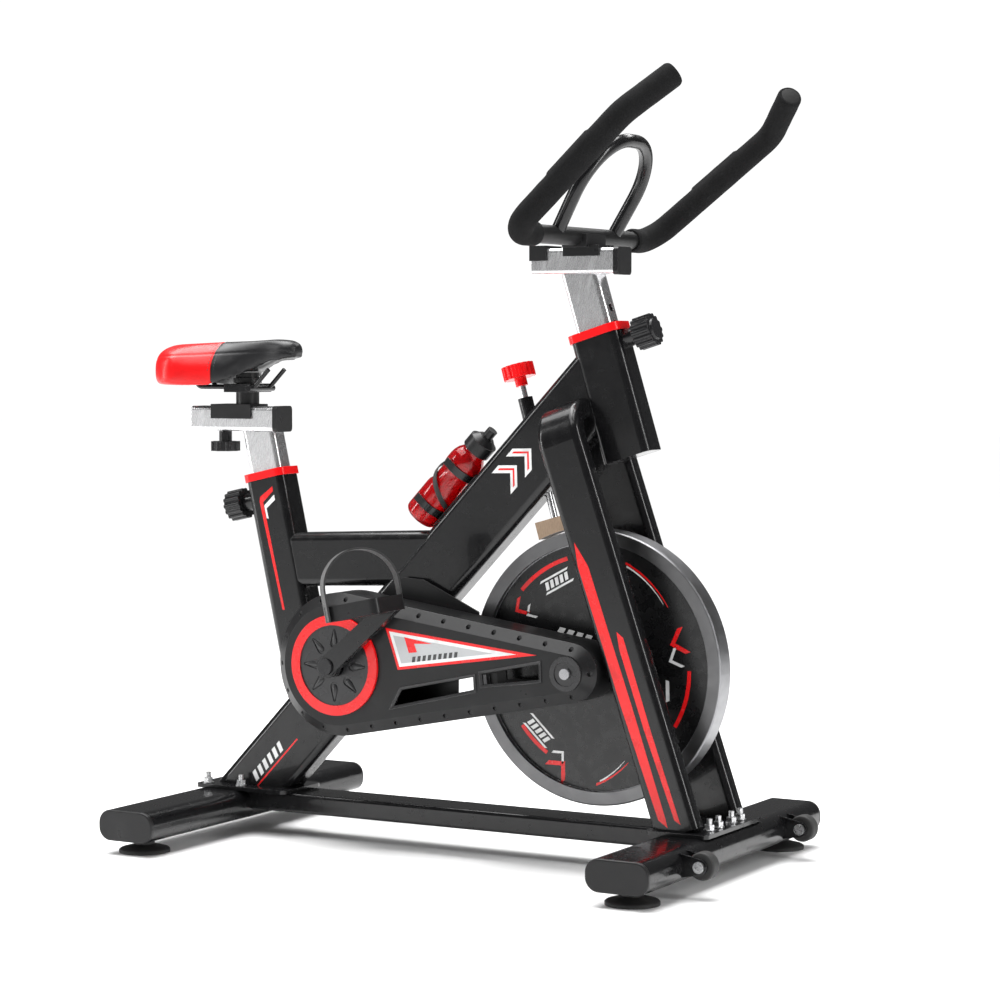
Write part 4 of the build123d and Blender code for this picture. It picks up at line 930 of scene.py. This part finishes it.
# ---------------------------------------------------------------- foam grips
GRIP_R = 18.0 * MM
GRIP_BEND = 46 * MM
ARM_ROUTE = [Vector(p) for p in (
    (0.227, 0.150, 0.910), (0.227, 0.215, 0.910), (0.412, 0.245, 1.064), (0.465, 0.1946, 1.1177))]
PAD_HIGH = 1.8 * MM
PAD_RUN = (150 * MM, 240 * MM)  # where the sensor pad starts and ends along the sleeve
PAD_FADE = 4 * MM
PLUG = ((0, -6), (12, -6), (14.6, -1), (14.8, -0.4), (13.5, 0), (0, 0.1))


def build_grip(word, hand):
    """Foam sleeve along one arm: rolled ends, a raised sensor pad outside, and a faintly uneven skin."""
    corners = [Vector((p.x, hand * p.y, p.z)) for p in ARM_ROUTE]
    top, end = corners[-2:]
    route = rounded_route(corners, GRIP_BEND, 2.5 * MM)
    total = sum((b - a).length for a, b in zip(route, route[1:]))
    pad_side = Vector((-0.62, hand * 0.45, 0.64)).normalized()

    def radius(run, side):
        rim = min(run, total - run)
        roll = 2.0 * MM * (1 - min(1.0, rim / (5 * MM))) ** 2
        pad = PAD_HIGH * ease(run, PAD_RUN[0], PAD_RUN[0] + PAD_FADE)
        pad *= 1 - ease(run, PAD_RUN[1] - PAD_FADE, PAD_RUN[1])
        pad *= ease(side.dot(pad_side), 0.45, 0.60)
        uneven = 0.25 * MM * noise.noise(Vector((run * 60, side.y * 2.5, side.z * 2.5)))
        return GRIP_R - roll + pad + uneven

    mesh = bmesh.new()
    swept(mesh, route, radius, 44)
    made = finish_piece("grip_foam_" + word, mesh, [FINISH["foam"]], "handlebar", (), 50)
    plug = bmesh.new()
    turned(plug, mm(*PLUG), facing(end, end - top))
    finish_piece("bar_end_plug_" + word, plug, [END_RUBBER], "handlebar")
    return made


END_RUBBER = moulded_plastic("end_rubber", (0.006, 0.006, 0.006), 0.6, 0.3)
grips = [build_grip(word, hand) for word, hand in SIDES]
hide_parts("handlebar_grips")

# ---------------------------------------------------------------- bottle
BOTTLE_FOOT = Vector((-0.048, 0, 0.498))
BOTTLE_PLACE = facing(BOTTLE_FOOT, BOTTLE_AXIS)
BOTTLE_OUTSIDE = [              # radius and height in millimetres, from the foot up
    (0, 3.5), (15, 2.2), (21, 0.2), (24.5, 0.8), (26.4, 3.4), (26.9, 7), (26.9, 52), (26.4, 57),
    (24.4, 62), (23.9, 68), (23.9, 86), (24.4, 92), (26.4, 97), (26.9, 101), (26.9, 112), (26.0, 119),
    (23.8, 125.5), (20.4, 131), (18.6, 134), (18.4, 138),
]
BOTTLE_INSIDE = [               # and down again inside
    (16.6, 138), (16.8, 133), (18.6, 129.5), (22.0, 124.5), (24.2, 118), (25.0, 112), (25.0, 101),
    (24.5, 97), (22.4, 92), (21.9, 86), (21.9, 68), (22.4, 62), (24.4, 57), (25.0, 52), (25.0, 8),
    (22.5, 4), (14, 4.6), (0, 5.6),
]
FLUTES, FLUTE_DEEP = 12, 0.55   # grooves round the lower body, and their depth in millimetres
WAIST_RIBS, WAIST_DEEP = 24, 0.45


def build_bottle():
    """Squeeze bottle with a waisted grip, flutes along the lower body and a domed shoulder."""
    sides, rings = 96, []
    for number, (radius, height) in enumerate(BOTTLE_OUTSIDE + BOTTLE_INSIDE):
        ring = []
        for i in range(sides):
            turn = tau * i / sides
            flute = FLUTE_DEEP * ease(height, 9, 16) * (1 - ease(height, 44, 51))
            flute *= 0.5 + 0.5 * cos(FLUTES * turn)
            waist = WAIST_DEEP * ease(height, 66, 70) * (1 - ease(height, 84, 88))
            waist *= 0.5 + 0.5 * cos(WAIST_RIBS * turn)
            relief = flute + waist if number < len(BOTTLE_OUTSIDE) else 0
            reach = max((radius - relief) * MM, LEAST_R)
            ring.append(BOTTLE_PLACE @ Vector((reach * cos(turn), reach * sin(turn), height * MM)))
        rings.append(ring)
    mesh = bmesh.new()
    join_rings(mesh, rings)
    return finish_piece("bottle_body", mesh, [FINISH["red_bottle"]], "bottle", ["bottle"], 40)


build_bottle()


def bottle_band():
    """Rubber band that winds slanting round the far side of the bottle, between the cage's clips."""
    mesh, rings = bmesh.new(), []
    inner, outer, half, steps = 26.2 * MM, 28.0 * MM, 4.2 * MM, 40
    corners = ((inner, -half), (outer - 0.4 * MM, -half), (outer, -half * 0.8), (outer, half * 0.8),
               (outer - 0.4 * MM, half), (inner, half))
    for i in range(steps + 1):
        share = i / steps
        turn = radians(70 + 180 * share)
        height = (90 - 46 * share) * MM
        rings.append([BOTTLE_PLACE @ Vector((r * cos(turn), r * sin(turn), height + h)) for r, h in corners])
    join_rings(mesh, rings)
    return finish_piece("bottle_band", mesh, [FINISH["rubber"]], "bottle")


bottle_band()

# ---------------------------------------------------------------- pedal reflectors
PEDAL_TILT = -12
REFLECTOR = ((-22, -5.5), (22, -5.5), (24, -3.5), (24, 3.5), (22, 5.5), (-22, 5.5), (-24, 3.5), (-24, -3.5))
REFLECTOR_X = 45 * MM           # from the pedal's axle to the reflectors on its front and rear edges
for word, hand in SIDES:
    centre = hinge_at(f"pedal_{word}_spin")
    tilt = Matrix.Translation(centre) @ Matrix.Rotation(radians(PEDAL_TILT), 4, "Y")
    mesh = bmesh.new()
    for end in (-1, 1):
        rings = []
        for depth, size in ((-1.5, 1.0), (0.8, 1.0), (1.6, 0.93)):
            x = end * (REFLECTOR_X + depth * MM)
            rings.append([tilt @ Vector((x, y * size * MM, z * size * MM)) for y, z in REFLECTOR])
        join_rings(mesh, rings)
    finish_piece("pedal_reflectors_" + word, mesh, [clear_reflector()], "pedal_" + word)


# ---------------------------------------------------------------- studio
def soft_light(name, place, target, size, power):
    """Rectangular soft box aimed at a point."""
    data = bpy.data.lights.new(name, "AREA")
    data.shape = "RECTANGLE"
    data.size, data.size_y = size
    data.energy = power
    made = linked(bpy.data.objects.new(name, data))
    made.location = place
    made.rotation_mode = "QUATERNION"
    made.rotation_quaternion = (Vector(target) - Vector(place)).to_track_quat("-Z", "Y")


sun = bpy.data.lights.new("sky_dome", "SUN")
sun.energy, sun.angle = 3.4, radians(50)
sun_object = linked(bpy.data.objects.new("sky_dome", sun))
sun_object.rotation_euler = (radians(-8), radians(-10), 0)
soft_light("overhead", (-0.5, -0.3, 3.0), (0, 0, 0.4), (3.6, 2.4), 110)
soft_light("left_bank", (-3.0, -1.8, 1.5), (0, 0, 0.6), (0.35, 3.0), 50)
soft_light("right_bank", (3.1, -0.2, 1.5), (0, 0, 0.6), (0.35, 3.0), 50)
soft_light("back_bank", (0.4, 2.6, 3.0), (0, 0, 0.6), (2.2, 0.5), 25)

world = bpy.data.worlds.new("studio")
bpy.context.scene.world = world
world.use_nodes = True
tree = world.node_tree
sky = tree.nodes["Background"]
backdrop = tree.nodes.new("ShaderNodeBackground")
backdrop.inputs["Color"].default_value = (1, 1, 1, 1)
backdrop.inputs["Strength"].default_value = 1.05
sky.inputs["Color"].default_value = (1, 1, 1, 1)
sky.inputs["Strength"].default_value = 0.10
path = tree.nodes.new("ShaderNodeLightPath")
mixer = tree.nodes.new("ShaderNodeMixShader")
tree.links.new(path.outputs["Is Camera Ray"], mixer.inputs[0])
tree.links.new(sky.outputs[0], mixer.inputs[1])
tree.links.new(backdrop.outputs[0], mixer.inputs[2])
tree.links.new(mixer.outputs[0], tree.nodes["World Output"].inputs["Surface"])
bpy.context.scene.view_settings.view_transform = "Standard"


def pale_floor():
    """Plain pale floor with a faint mottle."""
    recipe = Recipe("floor_paper", (0.9, 0.9, 0.9), 0.85)
    recipe.set("Base Color", recipe.blend(recipe.noise(0.8, 2), (0.90, 0.90, 0.90), (0.93, 0.93, 0.93)))
    mesh = bmesh.new()
    bmesh.ops.create_grid(mesh, x_segments=8, y_segments=8, size=20)
    data = bpy.data.meshes.new("floor")
    mesh.to_mesh(data)
    mesh.free()
    data.materials.append(recipe.material)
    floor = linked(bpy.data.objects.new("floor", data))


pale_floor()

# ---------------------------------------------------------------- camera
CAMERA_AT = Vector((2.103, -3.5918, 0.7482))
AZIMUTH, ELEVATION = radians(29.292), radians(3.089)
camera_data = bpy.data.cameras.new("camera")
camera_data.lens, camera_data.sensor_width = 100.56, 36.0
camera_data.clip_start, camera_data.clip_end = 0.05, 100
camera = linked(bpy.data.objects.new("camera", camera_data))
camera.location = CAMERA_AT
ahead = Vector((-sin(AZIMUTH) * cos(ELEVATION), cos(AZIMUTH) * cos(ELEVATION), -sin(ELEVATION)))
camera.rotation_mode = "QUATERNION"
camera.rotation_quaternion = ahead.to_track_quat("-Z", "Y")
bpy.context.scene.camera = camera
